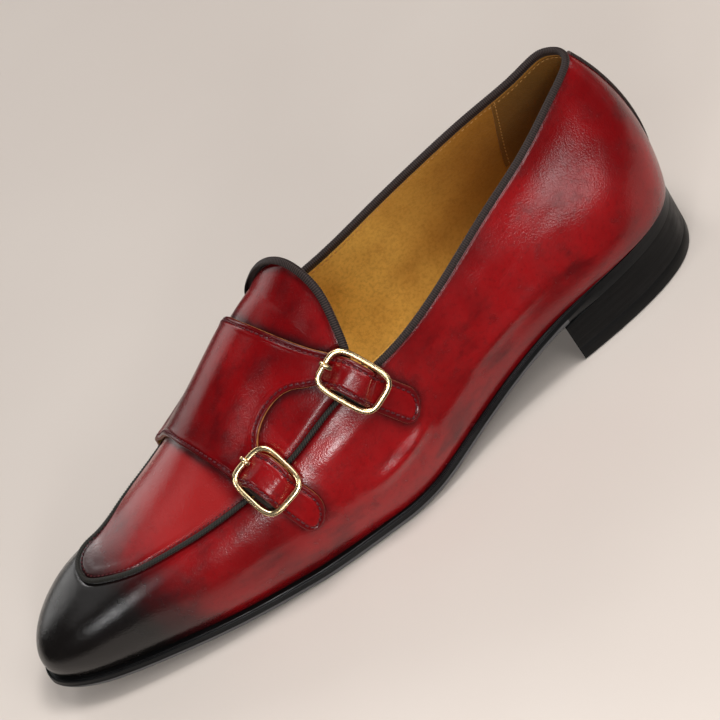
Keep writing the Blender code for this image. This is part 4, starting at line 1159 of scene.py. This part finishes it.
def slab(name, layers, materials, slot, replaced, sharp=50, lower=99, ahead=0):
    """A solid from layers of equal grids, top first: the first and last are its faces.

    Its side takes the second material from the layer called lower on, where x is over ahead.
    """
    rows, columns = layers[0].shape[:2]
    size = rows * columns
    index = np.arange(size).reshape(rows, columns)
    faces = grid_quads(index) + grid_quads((index + (len(layers) - 1) * size)[:, ::-1])
    rim = np.concatenate([index[0], index[1:, -1], index[-1, -2::-1], index[-2::-1, 0]])
    beyond = layers[0].reshape(-1, 3)[rim[:-1], 0] > ahead
    sides = beyond[:, None] & (np.arange(len(layers) - 1) >= lower)
    kinds = [0] * len(faces) + sides.ravel().tolist()
    faces += grid_quads(np.stack([rim + level * size for level in range(len(layers))], 1))
    make_piece(name, np.concatenate([layer.reshape(-1, 3) for layer in layers]), faces,
               materials, slot, replaced, kinds=kinds, sharp=sharp)


def build_outsole():
    """The outsole: a profiled edge round the front, a plain one over the heel."""
    angles = np.linspace(0, math.pi, 200)
    plain = 1 - smooth(angle_station(angles), 48, 76)
    layers = []
    for outset, rise in SOLE_PROFILE:
        flush = -0.42 if rise < 4.65 or outset > -0.6 else outset
        rows = plan_rows(angles, tucked(angles, outset + plain * (flush - outset)), 8)
        layers.append(raised(rows, under(rows[..., 0]) + rise))
    # the lower layers of the edge, ahead of the heel, take the painted lighter grey
    slab("outsole_leather", layers, [SOLE_EDGE, PAINTED_LIGHT_SOLE_BEVEL], "sole_leather", ("outsole",), 38, 11, 66)


def build_insole():
    """The sock lining: dished, with soft edges against the wall."""
    angles = np.linspace(0, math.pi, 150)
    inset = INSET(angles) + WALL + 0.35
    dish = 0.7 * (1 - np.linspace(-1, 1, 25) ** 4) * np.sin(angles)[:, None] ** 0.5
    layers = []
    for outset, rise in ((-0.7, 3), (-0.25, 2.85), (0, 2.5), (0, 1.4), (-0.6, 0)):
        rows = plan_rows(angles, outset - inset, 24)
        height = under(rows[..., 0]) + (SOLE_THICKNESS + GAP) + rise - dish * (rise > 2.9)
        layers.append(raised(rows, height))
    slab("sock_lining", layers, [LINING], "insole_lining", ("insole",))


def build_heel():
    """The heel: four lifts with fine furrows between them, and the top piece."""
    tall = float(under(0)) - GAP
    angles = np.linspace(0, float(station_angle(HEEL_BREAST_X)), 60)
    bow = HEEL_BREAST_BOW * (angle_station(angles) / HEEL_BREAST_X) ** 2

    def level(height, extra=0, tilt=0):
        share = min(height / tall, 1)
        taper = HEEL_TAPER * (1 - share) * (0.35 + 0.65 * np.cos(angles) ** 2)
        rows = plan_rows(angles, tucked(angles, -0.5 - taper + extra), 16, bow)
        top = under(rows[..., 0]) - 0.05
        return raised(rows, np.minimum(height + tilt * (top - tall), top))

    seat = TOP_PIECE_HEIGHT + 0.05
    lifts = np.linspace(tall, seat, 5)
    tilts = np.linspace(1, 0, 5)
    layers = [level(tall + 9)]
    for high, low, tilt, next_tilt in zip(lifts, lifts[1:], tilts, tilts[1:]):
        layers += [level(high - 0.05, 0.03, tilt), level(high - 0.3, 0.045, tilt),
                   level((high + low) / 2, 0.05, (tilt + next_tilt) / 2),
                   level(low + 0.3, 0.045, next_tilt), level(low + 0.05, 0.03, next_tilt)]
    layers.append(level(seat, -0.1))
    slab("heel_stack_lifts", layers, [HEEL_STACK], "heel_leather", ("heel_stack",), 60)
    slab("heel_top_lift", [level(*row) for row in TOP_LIFT_PROFILE], [HEEL_RUBBER],
         "heel_rubber", ("heel_top_piece",), 45)


# ---- lining details

def build_heel_grip():
    """Darker heel grip inside the back, with a leaning front edge, and its stitches."""
    heights = np.linspace(0.3, 0.955, 44)
    fine = np.linspace(0.05, 1.5, 300)
    limits = []
    for side in (1, -1):
        lines = wall_point(side * fine, heights[:, None])
        past = lines[..., 0] - (37 + 0.16 * (76 - lines[..., 2]))
        limits.append(side * np.array([np.interp(0, row, fine) for row in past]))
    angle = limits[1] + np.linspace(0, 1, 90)[:, None] * (limits[0] - limits[1])
    points = wall_point(angle, heights)
    normals = grid_normals(points)
    lining_sheet("heel_grip", points, normals, WALL - 0.1, WALL + 0.55, GRIP)
    face = points - (WALL + 0.55) * normals
    stitches("grip_stitches", [(face[column], -normals[column]) for column in (1, -2)],
             TAN_THREAD, "insole_lining", 1.4, 0.2, STITCH_PITCH, 4)


def build_collar_stitches():
    """The folded top of the lining under the binding, and the stitches through it."""
    angles = np.radians(np.linspace(86, -86, 700))
    top = top_edge(angles)
    below = wall_point(angles, 0.9)
    down = unit(below - top)
    outward, _ = rim_vectors(top, below)
    fold = top + (RIBBON_INSIDE + 0.45) * down - (WALL + 0.05) * outward
    points = [[p + swing(0.28 * o, 0.55 * d, t) for t in turns(8)]
              for p, o, d in zip(fold, outward, down)]
    make_piece("lining_fold", points, tube_faces(len(points), 8), [LINING], "insole_lining")
    line = top + (RIBBON_INSIDE + 1.7) * down - (WALL + 0.02) * outward
    over_grip = (np.abs(angles) < 0.72)[:, None]
    line = np.where(over_grip, line - 0.5 * outward, line)
    stitches("collar_stitches", [(softened(line, 8), -outward)], TAN_THREAD, "insole_lining",
             1.5, 0.2, STITCH_PITCH, 4)


def build_apron_stitches():
    """The seam's own stitches, showing on the apron beside the piping."""
    angles = np.linspace(THROAT_ANGLE + 0.1, 2 * math.pi - THROAT_ANGLE - 0.1, 900)
    points, side, normal = seam_vectors(angles)
    stitches("apron_stitches", [(points + 1.9 * side - 0.15 * normal, normal)], DARK_THREAD,
             "piping_black", 1.2, 0.2, 1.9, 14)


# ---- camera, floor and light

def build_camera():
    azimuth, elevation, roll = map(math.radians, CAMERA_ANGLES)
    toward = np.array([math.sin(azimuth) * math.cos(elevation),
                       -math.cos(azimuth) * math.cos(elevation), math.sin(elevation)])
    level = unit(np.cross(UP, toward))
    upright = np.cross(toward, level)
    data = bpy.data.cameras.new("camera")
    data.sensor_width = 36
    data.lens = CAMERA_FOCUS * data.sensor_width
    data.clip_start = 0.05
    item = placed("camera", data)
    matrix = np.eye(4)
    matrix[:3] = np.stack([swing(level, upright, roll), swing(upright, -level, roll), toward,
                           CAMERA_TARGET + CAMERA_DISTANCE * toward], 1)
    item.matrix_world = Matrix(matrix.tolist())
    bpy.context.scene.camera = item


def build_floor():
    """The plain floor. Its far part shows and takes light, but isn't mirrored by the shoe."""
    near = [Vector((*place, 0)) for place in (np.array(NEAR_FLOOR) - MIDDLE[:2]) * MM]
    wide = [Vector((x, y, 0)) for x, y in ((-5, -5), (5, -5), (5, 5), (-5, 5))]
    for name, loops in (("near_floor", [near]), ("far_floor", [wide, near])):
        mesh = bpy.data.meshes.new(name)
        mesh.from_pydata([place for loop in loops for place in loop], [], tessellate_polygon(loops))
        mesh.materials.append(FLOOR)
        item = placed(name, mesh)
    item.visible_glossy = False


def build_lights():
    for name, azimuth, elevation, distance, size, radiance, tilt, warmth in LIGHTS:
        a = math.radians(azimuth)
        e = math.radians(elevation)
        way = Vector((math.cos(a) * math.cos(e), math.sin(a) * math.cos(e), math.sin(e)))
        data = bpy.data.lights.new(name, "AREA")
        data.shape = "RECTANGLE"
        data.size, data.size_y = size
        data.energy = radiance * math.pi * size[0] * size[1]
        data.color = (1, 1 - warmth, 1 - 2 * warmth)
        item = placed(name, data)
        item.location = Vector((0, 0, 0.04)) + distance * way
        tilted = Matrix.Rotation(math.radians(tilt), 3, "Z")
        item.rotation_euler = (way.to_track_quat("Z", "Y").to_matrix() @ tilted).to_euler()
        item.visible_camera = False
    world = bpy.data.worlds.new("studio")
    world.use_nodes = True
    background = world.node_tree.nodes["Background"]
    background.inputs[0].default_value = (0.95, 0.92, 0.89, 1)
    background.inputs[1].default_value = 0.03
    bpy.context.scene.world = world
    bpy.context.scene.view_settings.view_transform = "Standard"


build_camera()
build_floor()
build_lights()
girths = Girths()
band_edge = build_band(girths)
build_wall(band_edge)
build_apron(band_edge)
build_bindings()
build_pipings()
build_buckle(girths.planes[0], UPPER_BUCKLE, "upper", 2.7)
build_buckle(girths.planes[1], LOWER_BUCKLE, "lower", 1.7)
build_elastic(girths, UPPER_STRAP, UPPER_BUCKLE, "upper")
build_elastic(girths, LOWER_STRAP, LOWER_BUCKLE, "lower")
build_outsole()
build_insole()
build_heel()
build_heel_grip()
build_collar_stitches()
build_apron_stitches()
